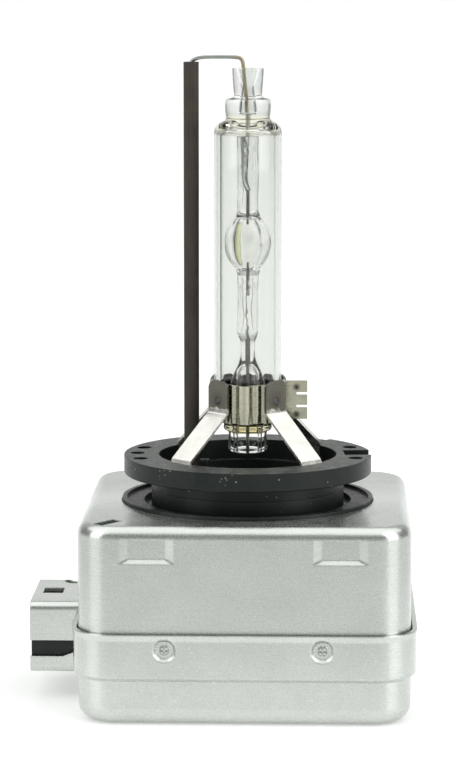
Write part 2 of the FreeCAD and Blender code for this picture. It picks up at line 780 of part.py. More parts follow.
def arc_tube(outline, metal):
    """Quartz burner: tail tube, pinched legs, vessel and tip tube."""
    tip_bore = turned([smooth([at(tip_bore_r, tip_top), at(tip_bore_r * 0.97, tip_top - 1.1),
                               at(tip_bore_r * 0.65, tip_top - 2.8), at(tip_bore_r * 0.92, tip_floor)])]
                      + chain([at(tip_bore_r * 0.92, tip_floor), at(0, tip_floor), at(0, tip_top),
                               at(tip_bore_r, tip_top)]))
    tail_bore = turned([line(at(tail_bore_r, tail_end), at(tail_bore_r, tail_dome - 3.6)),
                        smooth([at(tail_bore_r, tail_dome - 3.6), at(tail_bore_r * 0.75, tail_dome - 1.6),
                                at(0, tail_dome)])]
                       + chain([at(0, tail_dome), at(0, tail_end), at(tail_bore_r, tail_end)]))
    cavity = ellipsoid(cavity_r, cavity_half, light_centre)
    return outline.cut([tip_bore, tail_bore, cavity]).cut(metal)


def outer_bulb(burner):
    """Ultraviolet-blocking outer tube, fused to the burner at both ends."""
    shoulder = 0.95
    low, high = bulb_bottom, bulb_top
    edges = chain([at(0, low), at(rim_r - 0.3, low)])
    edges.append(Part.Arc(at(rim_r - 0.3, low), at(rim_r - 0.09, low + 0.09), at(rim_r, low + 0.3)).toShape())
    edges += chain([at(rim_r, low + 0.3), at(rim_r, low + 0.9), at(bulb_r, low + 2.2),
                    at(bulb_r, high - shoulder)])
    k = shoulder * math.sqrt(0.5)
    edges.append(Part.Arc(at(bulb_r, high - shoulder), at(bulb_r - shoulder + k, high - shoulder + k),
                          at(bulb_r - shoulder, high)).toShape())
    edges.append(smooth([at(bulb_r - shoulder, high), at(collar_r + 0.12, high + 0.5),
                         at(collar_r - 0.12, collar_low)]))
    edges.append(smooth([at(collar_r - 0.12, collar_low), at(collar_r, collar_low + 1.3),
                         at(collar_r - 0.05, collar_top - 0.5), at(collar_r - 0.5, collar_top)]))
    edges += chain([at(collar_r - 0.5, collar_top), at(0, collar_top), at(0, low)])
    inner_r = bulb_r - bulb_wall
    cavity = rod(inner_r, low + 3.6, high - 0.35)
    cavity = cavity.makeFillet(0.8, edges_at(cavity, low + 3.6) + edges_at(cavity, high - 0.35))
    return turned(edges).cut([cavity, burner])


def electrode(way):
    """Tungsten rod from the arc to its foil; way is 1 above the arc and -1 below."""
    tip = light_centre + way * arc_gap / 2
    root = light_centre + way * (arc_gap / 2 + electrode_root)
    return rod(electrode_r, min(tip, root), max(tip, root))


def foil(way):
    """Molybdenum foil that seals the current path through the quartz, wider away from the arc."""
    root = light_centre + way * (arc_gap / 2 + electrode_root)
    far = upper_foil_top if way > 0 else lower_foil_bottom
    near_half, far_half = foil_narrow / 2, foil_width / 2
    corners = [at(-near_half, root), at(near_half, root), at(far_half, far), at(-far_half, far)]
    plate = Part.Face(Part.makePolygon(corners + corners[:1])).extrude(Vector(0, foil_thick, 0))
    plate.translate(Vector(0, -foil_thick / 2, 0))
    return turn(plate, 0 if way > 0 else 90)


def upper_lead():
    """Short lead from the upper foil to the floor of the tip's bore."""
    return rod(lead_r, upper_foil_top, tip_floor)


def lower_lead():
    """Lead from the lower foil down through the chimney into the high-voltage cup."""
    return rod(lead_r, lead_end, lower_foil_bottom)


def salt_deposit():
    """Frozen metal salts on one side of the vessel's wall."""
    shell = ellipsoid(cavity_r, cavity_half, light_centre)
    shell = shell.cut(ellipsoid(cavity_r - salt_thick, cavity_half - salt_thick, light_centre))
    patch = block(-vessel_r, -cavity_r * 0.62, -0.75, 0.75, light_centre - 2.3, light_centre + 2.1)
    return shell.common(patch)


# ---- return wire, clamp and legs ------------------------------------------
def return_wire():
    """Wire up through the ceramic tube, across, and down into the tip."""
    path_z = rod_top + wire_rise
    points = [at(rod_x, wire_end), at(rod_x, path_z - wire_slope), at(wire_drop[0], path_z),
              at(wire_drop[1], tip_floor + wire_r * 0.2)]
    path = Part.Wire(round_corners(points, points, wire_bend_r, 0))
    circle = Part.Wire(Part.Circle(points[0], Vector(0, 0, 1), wire_r).toShape())
    return path.makePipeShell([circle], True, False)


def ceramic_tube():
    """Insulating tube round the return wire."""
    return rod(rod_r, rod_bottom, rod_top, rod_x).cut(rod(rod_bore_r, rod_bottom, rod_top, rod_x))


def flute(across):
    """How far the two deep flutes, at the front and the back, stand out beside their middle."""
    share = min(1, max(0, (abs(across) - flute_flat) / flute_fall))
    return flute_depth * (1 + math.cos(math.pi * share)) / 2


def band_point(angle):
    """A point of the pleated band's centre line."""
    from_front = angle - math.radians(band_turn - 90)
    lift = (1 + math.cos(band_pleats * from_front)) / 2
    r = band_r + band_thick / 2 + band_wave * lift + flute(band_r * math.sin(from_front))
    return Vector(r * math.cos(angle), r * math.sin(angle), band_bottom)


def pleated(side):
    """The area inside the band's centre line, moved outwards by side."""
    steps = band_pleats * 12
    ring = [band_point(2 * math.pi * i / steps) for i in range(steps)]
    points = []
    for i in range(steps):
        along = ring[(i + 1) % steps] - ring[i - 1]
        points.append(ring[i] + Vector(along.y, -along.x, 0).normalize() * side)
    curve = Part.BSplineCurve()
    curve.interpolate(points, PeriodicFlag=True)
    return Part.Face(Part.Wire(curve.toShape())).extrude(Vector(0, 0, band_height))


def clamp_band():
    """Pleated stainless band closed by a three-fingered ear."""
    band_top = band_bottom + band_height
    band = pleated(band_thick / 2).cut(pleated(-band_thick / 2))
    ear_half = band_thick + 0.02
    ear = block(band_r + band_thick / 2, ear_reach, -ear_half, ear_half, band_bottom, band_top)
    ear = ear.cut(rod(band_r + 0.02, band_bottom, band_top))
    seam = block(band_r - 1, ear_reach + 1, -0.02, 0.02, band_bottom - 1, band_top + 1)
    cuts = [seam]
    third = band_height / 3
    for i in (1, 2):
        z = band_bottom + i * third
        slot_low = z - ear_slot / 2
        cuts.append(block(ear_reach - ear_slot_length, ear_reach + 1, -1, 1, slot_low, slot_low + ear_slot))
    for z in (band_bottom + 0.6, band_top - 0.8):
        cuts.append(rod_along(ear_hole_r, Vector(ear_reach - ear_slot_length, -1, z), 2, Vector(0, 1, 0)))
    return band.fuse(ear).cut(cuts).removeSplitter()


def support_leg(azimuth):
    """Bent strip from a weld on the clamp out to its foot in the ring."""
    foot_r = ring_bore_r + leg_thick / 2
    centre_r = tab_r + leg_thick / 2
    points = [at(centre_r, leg_top), at(centre_r, leg_bend_z), at(foot_r, 0.25), at(foot_r, -foot_depth)]
    outline = bent_strip(points, leg_thick, leg_bend_r)
    half = leg_width / 2
    strip = Part.Face(outline).extrude(Vector(0, leg_width, 0))
    strip.translate(Vector(0, -half, 0))
    corners = [e for e in strip.Edges if abs(e.BoundBox.ZMin - leg_top) < 1e-6 and e.BoundBox.YLength < 1e-6]
    return turn(strip.makeFillet(leg_corner_r, corners), azimuth)


def weld_spots():
    """Weld nuggets that stand slightly proud on the legs' tabs."""
    z = (leg_top + leg_bend_z) / 2 - 0.55
    start = Vector(tab_r + leg_thick, 0, z)
    nugget = Part.makeCone(weld_r, weld_r * 0.55, weld_height, start, Vector(1, 0, 0))
    return Part.makeCompound([turn(nugget, azimuth) for azimuth in leg_azimuths])


# ---- build -----------------------------------------------------------------
save(top_cover(), "top_cover")
save(bottom_pan(), "bottom_pan")
save(cap_ring(), "cap_ring")
save(igniter_housing(), "igniter_housing")
save(housing_base(), "housing_base")
save(connector_housing(), "connector_housing")

inside = {
    "contact_pin_supply": contact_pin(-pin_pitch),
    "contact_pin_lamp": contact_pin(0),
    "contact_pin_return": contact_pin(pin_pitch),
    "supply_strip": supply_strip(),
    "lamp_strip": lamp_strip(),
    "return_strip": return_strip(),
    "coil_bobbin": coil_bobbin(),
    "ferrite_core": ferrite_core(),
    "primary_winding": primary_winding(),
    "secondary_winding": secondary_winding(),
    "ignition_capacitor": capacitor(),
    "spark_gap_body": spark_gap_body(),
    "spark_gap_caps": spark_gap_caps(),
    "bleed_resistor": bleed_resistor(),
    "return_terminal": return_terminal(),
    "high_voltage_terminal": high_voltage_terminal(),
}
for name, shape in inside.items():
    save(shape, name)
solids = [solid for shape in inside.values() for solid in shape.Solids]
save(potting(solids + connector_housing().Solids), "potting_compound")

outline = burner_outline()
metal = {
    "upper_electrode": electrode(1),
    "lower_electrode": electrode(-1),
    "upper_foil": foil(1),
    "lower_foil": foil(-1),
    "upper_lead": upper_lead(),
    "lower_lead": lower_lead(),
}
for name, shape in metal.items():
    save(shape, name)
save(arc_tube(outline, list(metal.values())), "arc_tube")
save(outer_bulb(outline), "outer_bulb")
save(salt_deposit(), "salt_deposit")

save(return_wire(), "return_wire")
save(ceramic_tube(), "ceramic_tube")
save(clamp_band(), "clamp_band")
save(weld_spots(), "weld_spots")
for place, azimuth in zip(("front_left", "front_right", "rear_right", "rear_left"), leg_azimuths):
    save(support_leg(azimuth), "support_leg_" + place)
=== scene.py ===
# %% [markdown]
# # A gas-discharge headlight bulb, finished in Blender
#
# The lamp stands on a square drawn-aluminium box that holds its igniter. A
# black plastic cap ring locates it in the headlamp, four bent steel legs and
# a pleated clamp hold a double-walled quartz burner, and a thin wire comes
# back down beside it inside a dark ceramic tube. The design arrives as a
# imported frame of named pieces. Here each piece gets its finish, and the
# pieces that a machinist's drawing can't describe, such as worked quartz,
# crumpled foil and frozen salts, are modelled again.

# %% Load the frame
import math

import bmesh
import bpy
from mathutils import Matrix, Vector, noise


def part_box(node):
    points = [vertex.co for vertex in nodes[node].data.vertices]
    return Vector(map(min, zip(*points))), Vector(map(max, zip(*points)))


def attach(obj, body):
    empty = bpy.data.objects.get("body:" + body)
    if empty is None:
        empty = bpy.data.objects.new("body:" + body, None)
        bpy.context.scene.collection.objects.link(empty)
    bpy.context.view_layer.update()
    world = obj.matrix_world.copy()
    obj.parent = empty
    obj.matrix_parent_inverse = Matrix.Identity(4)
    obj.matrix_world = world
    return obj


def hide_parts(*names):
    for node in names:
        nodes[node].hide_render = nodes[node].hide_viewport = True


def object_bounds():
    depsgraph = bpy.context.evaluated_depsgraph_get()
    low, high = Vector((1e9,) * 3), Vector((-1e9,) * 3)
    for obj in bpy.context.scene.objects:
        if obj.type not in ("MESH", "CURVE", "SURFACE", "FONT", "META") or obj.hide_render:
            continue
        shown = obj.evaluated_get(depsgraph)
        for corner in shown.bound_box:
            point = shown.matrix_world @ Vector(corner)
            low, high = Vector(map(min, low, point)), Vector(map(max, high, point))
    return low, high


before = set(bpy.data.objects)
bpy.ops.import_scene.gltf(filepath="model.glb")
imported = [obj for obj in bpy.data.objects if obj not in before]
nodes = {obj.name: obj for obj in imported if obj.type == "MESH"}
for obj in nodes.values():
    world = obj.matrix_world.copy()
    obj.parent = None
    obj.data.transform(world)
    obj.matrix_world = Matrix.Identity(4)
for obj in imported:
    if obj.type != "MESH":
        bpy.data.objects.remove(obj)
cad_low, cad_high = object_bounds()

print(len(nodes), "pieces in the frame")

# %% [markdown]
# Everything is in metres, which makes small numbers for a lamp 82 mm high.
# Lengths are therefore written in millimetres and multiplied by MM. The
# heights that several pieces share are read from the frame's boxes, so that
# nothing here can drift away from the design.

# %% Shared places
MM = 0.001
floor_z = cad_low.z
tube_low, tube_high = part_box("outer_bulb")
burner_low, burner_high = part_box("arc_tube")
arc_z = (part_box("upper_electrode")[0].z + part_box("lower_electrode")[1].z) / 2
tube_r = tube_high.x
print("light centre", round(arc_z / MM, 2), "mm above the ring")

# %% [markdown]
# ## The camera
#
# A long lens a good arm's length away, looking slightly down, is how a
# catalogue shows such a lamp: the verticals stay upright and the ring reads
# as a shallow ellipse. The lens is long because a short one would swell the
# box towards the viewer.

# %% Camera
camera = bpy.data.objects.new("camera", bpy.data.cameras.new("camera"))
camera.data.sensor_fit = "VERTICAL"
camera.data.sensor_width = 36
camera.data.sensor_height = 36
camera.data.lens = 144.1
camera.data.clip_start = 0.01
camera.data.clip_end = 20
camera.location = (9.76 * MM, -392.5 * MM, 65.39 * MM)
swing, tilt = -0.0307, 0.1423
ahead = Vector((math.sin(swing) * math.cos(tilt), math.cos(swing) * math.cos(tilt), -math.sin(tilt)))
camera.rotation_euler = ahead.to_track_quat("-Z", "Y").to_euler()
bpy.context.scene.collection.objects.link(camera)
bpy.context.scene.camera = camera
print("camera", [round(v, 4) for v in camera.location])

# %% [markdown]
# ## New pieces
#
# A piece that isn't in the frame starts as lists of corners and faces, or as
# a bmesh, Blender's editable mesh. Three short helpers turn both into named
# pieces in the scene, so that no cell below repeats those steps.

# %% Piece helpers
def add_piece(name, mesh, smooth=True):
    """Puts a mesh into the scene as a piece."""
    for polygon in mesh.polygons:
        polygon.use_smooth = smooth
    piece = bpy.data.objects.new(name, mesh)
    bpy.context.scene.collection.objects.link(piece)
    return piece


def from_lists(name, verts, faces):
    """A piece from plain lists of corners and faces."""
    mesh = bpy.data.meshes.new(name)
    mesh.from_pydata([tuple(v) for v in verts], [], faces)
    mesh.validate()
    return add_piece(name, mesh)


def from_bmesh(name, body, smooth=True):
    """A piece from a bmesh, which is then freed."""
    mesh = bpy.data.meshes.new(name)
    body.to_mesh(mesh)
    body.free()
    return add_piece(name, mesh, smooth)


print("piece helpers ready")

# %% [markdown]
# ## The studio
#
# Polished quartz and satin aluminium show their surroundings more than they
# show themselves, so the light is designed as a room of large pale panels. A
# white floor that sweeps up behind the lamp gives the glass something bright
# to transmit. Panels on both sides draw the light bands on the rounded
# corners of the box. The side behind the camera stays grey, because a metal
# face that looks at the viewer should not mirror pure white.

# %% Sweep
def sweep_outline(depth, rise, curve_r, steps=16):
    """Floor, quarter turn and wall as (y, z) points, in metres."""
    points = [(-depth, 0), (depth - curve_r, 0)]
    for i in range(1, steps + 1):
        a = math.pi / 2 * i / steps
        points.append((depth - curve_r + curve_r * math.sin(a), curve_r - curve_r * math.cos(a)))
    return points + [(depth, rise)]


sweep_half = 2.5
outline = sweep_outline(1.6, 2.0, 0.6)
verts = [(x, y, floor_z + z) for x in (-sweep_half, sweep_half) for y, z in outline]
count = len(outline)
faces = [(i, count + i, count + i + 1, i + 1) for i in range(count - 1)]
sweep = from_lists("sweep", verts, faces)
print("sweep", len(faces), "faces")

# %% Soft panels
def panel(name, place, aim, width, height, power):
    """A rectangular soft light turned towards a point; sizes in metres, power in watts."""
    light = bpy.data.lights.new(name, "AREA")
    light.shape = "RECTANGLE"
    light.size, light.size_y = width, height
    light.energy = power
    holder = bpy.data.objects.new(name, light)
    holder.location = place
    holder.rotation_euler = (Vector(aim) - Vector(place)).to_track_quat("-Z", "Y").to_euler()
    bpy.context.scene.collection.objects.link(holder)
    return holder


panel("top_panel", (0, -0.05, 0.85), (0, -0.05, 0), 2.2, 1.5, 12.3)
panel("left_panel", (-0.72, -0.38, 0.30), (0, 0, 0.02), 0.56, 0.9, 2.5)
panel("right_panel", (0.72, -0.38, 0.30), (0, 0, 0.02), 0.56, 0.9, 3.6)

world = bpy.data.worlds.new("studio_air")
world.use_nodes = True
world.node_tree.nodes["Background"].inputs["Color"].default_value = (0.93, 0.96, 0.93, 1)
world.node_tree.nodes["Background"].inputs["Strength"].default_value = 0.31
bpy.context.scene.world = world
bpy.context.scene.view_settings.view_transform = "Standard"

# %% [markdown]
# ## A small kit for finishes
#
# Every finish below is a chain of Blender's noise textures that ends in one
# Principled shader. A few helpers keep the chains readable: grain is a noise
# stretched along an axis, ramp and colours map a pattern to numbers or
# colours, and sums and mixed join two patterns. Stretching a noise is the
# whole secret of brushed metal and drawn glass: the same grain, pulled long
# in one direction. Lengths inside a finish are in metres, as the mesh is.

# %% Finish kit
class Finish:
    """A procedural material that grows node by node."""

    def __init__(self, name, **sockets):
        self.material = bpy.data.materials.new(name)
        self.material.use_nodes = True
        self.tree = self.material.node_tree
        self.shader = self.tree.nodes["Principled BSDF"]
        self.place = self.node("ShaderNodeTexCoord").outputs["Object"]
        self.set(self.shader, **sockets)

    def set(self, node, **sockets):
        """Sets a node's sockets by name, with _ standing for a space."""
        for key, value in sockets.items():
            node.inputs[key.replace("_", " ")].default_value = value

    def node(self, kind, **fields):
        """A new node with its fields set."""
        made = self.tree.nodes.new(kind)
        for key, value in fields.items():
            setattr(made, key, value)
        return made

    def link(self, output, target):
        """One wire of the chain."""
        self.tree.links.new(output, target)

    def feed(self, socket, source):
        """Fills a socket from another node, or with a number or a colour."""
        if hasattr(source, "is_output"):
            self.link(source, socket)
        else:
            socket.default_value = (*source, 1) if isinstance(source, tuple) else source

    def axes(self):
        """A place's X, Y and Z."""
        parts = self.node("ShaderNodeSeparateXYZ")
        self.link(self.place, parts.inputs[0])
        return parts.outputs

    def distance(self, spot, place=None):
        """How far a place is from a fixed spot."""
        gap = self.node("ShaderNodeVectorMath", operation="DISTANCE")
        self.link(place or self.place, gap.inputs[0])
        gap.inputs[1].default_value = spot
        return gap.outputs["Value"]

    def grain(self, stretch, scale, detail=3.0, rough=0.5):
        """Noise whose cells are squeezed by the given factors along X, Y and Z."""
        mapping = self.node("ShaderNodeMapping")
        mapping.inputs["Scale"].default_value = stretch
        self.link(self.place, mapping.inputs["Vector"])
        pattern = self.node("ShaderNodeTexNoise")
        self.set(pattern, Scale=scale, Detail=detail, Roughness=rough)
        self.link(mapping.outputs["Vector"], pattern.inputs["Vector"])
        return pattern.outputs["Fac"]

    def ramp(self, value, low, high, start, end):
        """Maps value from low..high to start..end."""
        made = self.node("ShaderNodeMapRange")
        for socket, number in zip(("From Min", "From Max", "To Min", "To Max"), (low, high, start, end)):
            made.inputs[socket].default_value = number
        self.link(value, made.inputs["Value"])
        return made.outputs["Result"]

    def colours(self, value, *stops):
        """A colour ramp from (place, colour) stops."""
        made = self.node("ShaderNodeValToRGB")
        ramp = made.color_ramp
        for i, (place, colour) in enumerate(stops):
            stop = ramp.elements[i] if i < 2 else ramp.elements.new(place)
            stop.position = place
            stop.color = (*colour, 1)
        self.link(value, made.inputs["Fac"])
        return made.outputs["Color"]

    def mixed(self, share, first, second, how="MIX"):
        """Two colours mixed by share; each colour is a socket or three numbers."""
        made = self.node("ShaderNodeMix", data_type="RGBA", blend_type=how)
        for socket, source in ((made.inputs[0], share), (made.inputs[6], first), (made.inputs[7], second)):
            self.feed(socket, source)
        return made.outputs[2]

    def sums(self, how, first, second=0.0):
        """One arithmetic step on one or two values."""
        made = self.node("ShaderNodeMath", operation=how)
        for socket, source in zip(made.inputs, (first, second)):
            self.feed(socket, source)
        return made.outputs[0]

    def colour(self, output):
        """Wires the base colour."""
        self.link(output, self.shader.inputs["Base Color"])
        return self

    def roughness(self, output):
        """Wires the roughness."""
        self.link(output, self.shader.inputs["Roughness"])
        return self

    def relief(self, height, strength, depth, soften=0.0):
        """Bump from a height, over edges softened by a radius in metres."""
        bump = self.node("ShaderNodeBump")
        self.set(bump, Strength=strength, Distance=depth)
        self.link(height, bump.inputs["Height"])
        if soften:
            edge = self.node("ShaderNodeBevel", samples=4)
            edge.inputs["Radius"].default_value = soften
            self.link(edge.outputs["Normal"], bump.inputs["Normal"])
        self.link(bump.outputs["Normal"], self.shader.inputs["Normal"])
        return self

    def around_z(self):
        """Grain that runs round the lamp's axis, for anisotropic metal."""
        tangent = self.node("ShaderNodeTangent", direction_type="RADIAL", axis="Z")
        self.link(tangent.outputs["Tangent"], self.shader.inputs["Tangent"])
        return self


def dress(material, *names):
    """Gives pieces of the frame a finish through their material slots."""
    for name in names:
        slots = nodes[name].data.materials
        slots.clear()
        slots.append(material)


print("finish kit ready")

# %% [markdown]
# ## Satin aluminium
#
# The box is drawn from pre-brushed sheet. The brush lines run level round
# all four sides, so the grain is squeezed hard along Z and left long across.
# Real sheet also carries short scratches from the press and faint cloudy
# patches where the oil dried. The edges are softened in the shader by a
# quarter of a millimetre, because a pressed dent never has a knife edge.

# %% Aluminium
def aluminium():
    f = Finish("satin_aluminium", Metallic=1.0, Anisotropic=0.75, Anisotropic_Rotation=0.25)
    brush = f.grain((150, 150, 8000), 1.0, 4.0, 0.6)
    pores = f.grain((1, 1, 1), 3800, 3.0, 0.6)
    cloud = f.grain((1, 1, 1), 180, 3.0, 0.5)
    scratch = f.grain((900, 900, 5200), 1.0, 6.0, 0.75)
    marks = f.ramp(scratch, 0.60, 0.66, 0.0, 1.0)
    tone = f.colours(cloud, (0.3, (0.57, 0.595, 0.565)), (0.75, (0.63, 0.655, 0.625)))
    lined = f.mixed(f.ramp(brush, 0.3, 0.7, 0.0, 0.28), tone, (0.68, 0.70, 0.67))
    f.colour(f.mixed(f.sums("MULTIPLY", marks, 0.5), lined, (0.80, 0.82, 0.79)))
    satin = f.sums("ADD", f.ramp(brush, 0.3, 0.7, 0.17, 0.25), f.ramp(pores, 0.3, 0.7, 0.03, 0.08))
    f.roughness(f.sums("ADD", satin, f.ramp(marks, 0, 1, 0.0, -0.08)))
    grained = f.sums("ADD", brush, f.sums("MULTIPLY", pores, 0.7))
    height = f.sums("ADD", grained, f.sums("MULTIPLY", marks, -0.8))
    f.relief(height, 0.10, 0.02 * MM, 0.25 * MM)
    return f.around_z().material


dress(aluminium(), "top_cover", "bottom_pan")
print("aluminium on the cover and the pan")

# %% [markdown]
# ## Black glass-filled plastic
#
# The ring and the igniter's housing are moulded in black plastic. It is
# never quite black: faces that look up are lighter in patches, and pale filler
# shows as tiny specks. The specks are the centres of a cell pattern, kept
# only where a second, slower noise allows them.

# %% Plastic
def black_plastic(name, specks, level):
    """Moulded plastic: specks is how strongly its dust shows, level how much it mirrors."""
    f = Finish(name, Specular_IOR_Level=level)
    skin = f.grain((1, 1, 1), 2600, 4.0, 0.6)
    cloud = f.grain((1, 1, 1), 260, 3.0, 0.5)
    cells = f.node("ShaderNodeTexVoronoi", feature="F1")
    f.set(cells, Scale=1500.0, Randomness=1.0)
    f.link(f.place, cells.inputs["Vector"])
    dots = f.ramp(cells.outputs["Distance"], 0.10, 0.20, 1.0, 0.0)
    patchy = f.ramp(f.grain((1, 1, 1), 520, 2.0, 0.5), 0.56, 0.66, 0.0, specks)
    base = f.colours(cloud, (0.3, (0.007, 0.011, 0.010)), (0.75, (0.014, 0.019, 0.017)))
    facing = f.node("ShaderNodeSeparateXYZ")
    f.link(f.node("ShaderNodeNewGeometry").outputs["Normal"], facing.inputs[0])
    # Faces whose normal points up are made lighter in noise patches.
    up = f.ramp(facing.outputs["Z"], 0.7, 0.95, 0.0, 1.0)
    upward_patches = f.ramp(f.grain((1, 1, 1), 700, 5.0, 0.7), 0.46, 0.68, 0.0, 0.32)
    lighter_tops = f.mixed(f.sums("MULTIPLY", up, upward_patches), base, (0.22, 0.215, 0.185))
    f.colour(f.mixed(f.sums("MULTIPLY", dots, patchy), lighter_tops, (0.30, 0.30, 0.26)))
    f.roughness(f.ramp(skin, 0.3, 0.7, 0.30, 0.46))
    return f.relief(skin, 0.25, 0.03 * MM, 0.12 * MM).material


dress(black_plastic("ring_plastic", 0.85, 0.28), "cap_ring")
dress(black_plastic("housing_plastic", 0.25, 0.35), "igniter_housing", "housing_base")
dress(black_plastic("socket_plastic", 0.1, 0.3), "connector_housing")
print("plastic on the ring, the housing and the socket")

# %% [markdown]
# ## Stainless strip
# The clamp and its four legs are punched from rolled stainless strip. The
# rolling leaves fine lines and a faint warm tint. Each leg is held by one
# spot weld, and the weld's heat leaves a brown ring with a blue heart. The
# tint is worked out from the distance to the nearest weld, whose place comes
# from the frame. Beyond the tint, the whole welded tab above each leg's fold
# is painted down to about a fifth of the strip's brightness, which is painted
# shade.

# %% Welds, heat tint and painted tab shade
weld_low, weld_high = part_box("weld_spots")
weld_z = (weld_low.z + weld_high.z) / 2
weld_out = weld_high.x
band_low, band_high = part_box("clamp_band")
ear_x, ear_front = band_high.x - 1.4 * MM, -0.27 * MM
ear_heights = [band_low.z + 0.6 * MM, band_high.z - 0.8 * MM]
print("welds", round(weld_z / MM, 2), "mm above the ring, out at", round(weld_out / MM, 2), "mm")


def distance_to_weld(f):
    """Distance from a point to the nearest of the four welds, by folding space onto one."""
    folded = f.node("ShaderNodeVectorMath", operation="ABSOLUTE")
    f.link(f.place, folded.inputs[0])
    return f.distance((weld_out, weld_out, weld_z), folded.outputs[0])


def distance_to_ear(f):
    """Distance to the nearer of the two spots that close the clamp's ear."""
    return f.sums("MINIMUM", *[f.distance((ear_x, ear_front, z)) for z in ear_heights])


def tab_shade_mask(f):
    """1 over the welded tabs, which get the heat tint and the painted shade, 0 on the bright strips below
    their fold.
    """
    drift = f.ramp(f.grain((1, 1, 1), 900, 2.0, 0.5), 0.3, 0.7, -0.3 * MM, 0.3 * MM)
    height = f.sums("ADD", f.axes()["Z"], drift)
    return f.ramp(height, weld_z - 1.4 * MM, weld_z - 0.9 * MM, 0.0, 1.0)


# %% Stainless strip
def stainless(name, rolling, dull, bright):
    """Rolled strip: the finish, and its cloudy tone between two colours."""
    f = Finish(name, Metallic=1.0, Anisotropic=0.3)
    rolled = f.grain(rolling, 1.0, 4.0, 0.6)
    cloud = f.grain((1, 1, 1), 420, 3.0, 0.5)
    f.roughness(f.ramp(rolled, 0.3, 0.7, 0.20, 0.32))
    f.relief(rolled, 0.02, 0.02 * MM, 0.06 * MM)
    return f, f.colours(cloud, (0.3, dull), (0.75, bright))


def leg_steel():
    f, tone = stainless("leg_steel", (900, 900, 500), (0.74, 0.73, 0.68), (0.84, 0.83, 0.78))
    near = f.ramp(distance_to_weld(f), 0.2 * MM, 2.0 * MM, 0.0, 1.0)
    # Blue then brown heat tint near the weld; the last stop darkens the rest of the tab to a fifth, which is
    # painted shade.
    tinting = f.colours(near, (0.0, (0.10, 0.13, 0.20)), (0.14, (0.06, 0.045, 0.035)),
                     (0.34, (0.15, 0.14, 0.12)), (1.0, (0.20, 0.195, 0.175)))
    return f.colour(f.mixed(tab_shade_mask(f), tone, f.mixed(1.0, tone, tinting, "MULTIPLY"))).material


def clamp_steel():
    f, tone = stainless("clamp_steel", (500, 500, 3000), (0.42, 0.41, 0.32), (0.53, 0.52, 0.41))
    halo = f.ramp(distance_to_ear(f), 0.2 * MM, 0.6 * MM, 0.85, 0.0)
    return f.colour(f.mixed(halo, tone, (0.10, 0.08, 0.045))).material


legs = ["support_leg_" + place for place in ("front_left", "front_right", "rear_left", "rear_right")]
dress(leg_steel(), *legs)
dress(clamp_steel(), "clamp_band")
print("steel on the clamp and", len(legs), "legs")

# %% [markdown]
# ## Weld spots and ear plugs
#
# A spot weld leaves a small burnt lens of metal, blue-black and a little
# glossy. The ear of the clamp is closed through two small holes, and the
# same burnt metal fills them. The frame leaves those holes open, so two
# short round plugs are added here, where the frame has the ear.

# %% Ear plugs and weld metal
plug_r, plug_length = 0.21 * MM, 0.5 * MM
plugs = bmesh.new()
for z in ear_heights:
    turned = Matrix.Translation((ear_x, 0, z)) @ Matrix.Rotation(math.pi / 2, 4, "X")
    bmesh.ops.create_cone(plugs, cap_ends=True, segments=32, radius1=plug_r, radius2=plug_r,
                          depth=plug_length, matrix=turned)
ear_plugs = from_bmesh("ear_plugs", plugs, smooth=False)
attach(ear_plugs, "root")


def weld_metal():
    f = Finish("heat_tinted_weld", Metallic=0.8)
    cloud = f.grain((1, 1, 1), 3000, 3.0, 0.6)
    f.colour(f.colours(cloud, (0.3, (0.03, 0.035, 0.06)), (0.7, (0.16, 0.15, 0.14))))
    f.roughness(f.ramp(cloud, 0.3, 0.7, 0.3, 0.5))
    return f.relief(cloud, 0.4, 0.05 * MM).material


burnt = weld_metal()
dress(burnt, "weld_spots")
ear_plugs.data.materials.append(burnt)
print("ear plugs at", [round(z / MM, 2) for z in ear_heights])

# %% [markdown]
# ## Dark ceramic tube
#
# The return wire is insulated by an extruded steatite tube, fired almost
# black. Extrusion leaves long fine lines down its length and a dry, slightly
# brown surface.

# %% Ceramic
def dark_ceramic():
    f = Finish("dark_ceramic", Specular_IOR_Level=0.35)
    lines = f.grain((5200, 5200, 130), 1.0, 4.0, 0.65)
    cloud = f.grain((1, 1, 1), 300, 3.0, 0.5)
    tone = f.colours(cloud, (0.3, (0.023, 0.019, 0.013)), (0.75, (0.040, 0.034, 0.025)))
    f.colour(f.mixed(f.ramp(lines, 0.35, 0.7, 0.0, 0.5), tone, (0.085, 0.075, 0.06)))
    f.roughness(f.ramp(lines, 0.3, 0.7, 0.5, 0.72))
    return f.relief(lines, 0.3, 0.04 * MM, 0.06 * MM).material


dress(dark_ceramic(), "ceramic_tube")
print("ceramic on the return tube")

# %% [markdown]
# ## Quartz
#
# The burner is a quartz tube with a swollen vessel in its middle, and a
# second tube is fused round it at both ends. As drawings these are two
# solids that share faces, and shared faces confuse a ray tracer: it can't
# tell glass from air there. So one closed quartz body is turned on Blender's
# own lathe: an outer skin, and inside it two closed skins facing inwards, for
# the gap between the tubes and for the vessel's hollow. Quartz is worked by
# hand in a flame, so the inner skins wander by a few hundredths of a
# millimetre. That wandering is what makes real quartz look alive.
#
# The first helpers draw outlines: a soft curve through points, a straight
# run, a quarter turn, and a clean-up that drops repeated points.

# %% Outline helpers
def soft(points, steps=6):
    """A smooth run through (radius, height) points."""
    ends = [points[0]] + points + [points[-1]]
    run = []
    for p0, p1, p2, p3 in zip(ends, ends[1:], ends[2:], ends[3:]):
        for i in range(steps):
            t = i / steps
            run.append(tuple(0.5 * (2 * b + (c - a) * t + (2 * a - 5 * b + 4 * c - d) * t * t
                                    + (3 * b - a - 3 * c + d) * t ** 3)
                             for a, b, c, d in zip(p0, p1, p2, p3)))
    return run + [points[-1]]


def straight(start, end, pitch=0.5):
    """A straight run cut into short pieces, so that it can wander."""
    steps = max(1, round(math.dist(start, end) / pitch))
    return [tuple(a + (b - a) * i / steps for a, b in zip(start, end)) for i in range(steps + 1)]


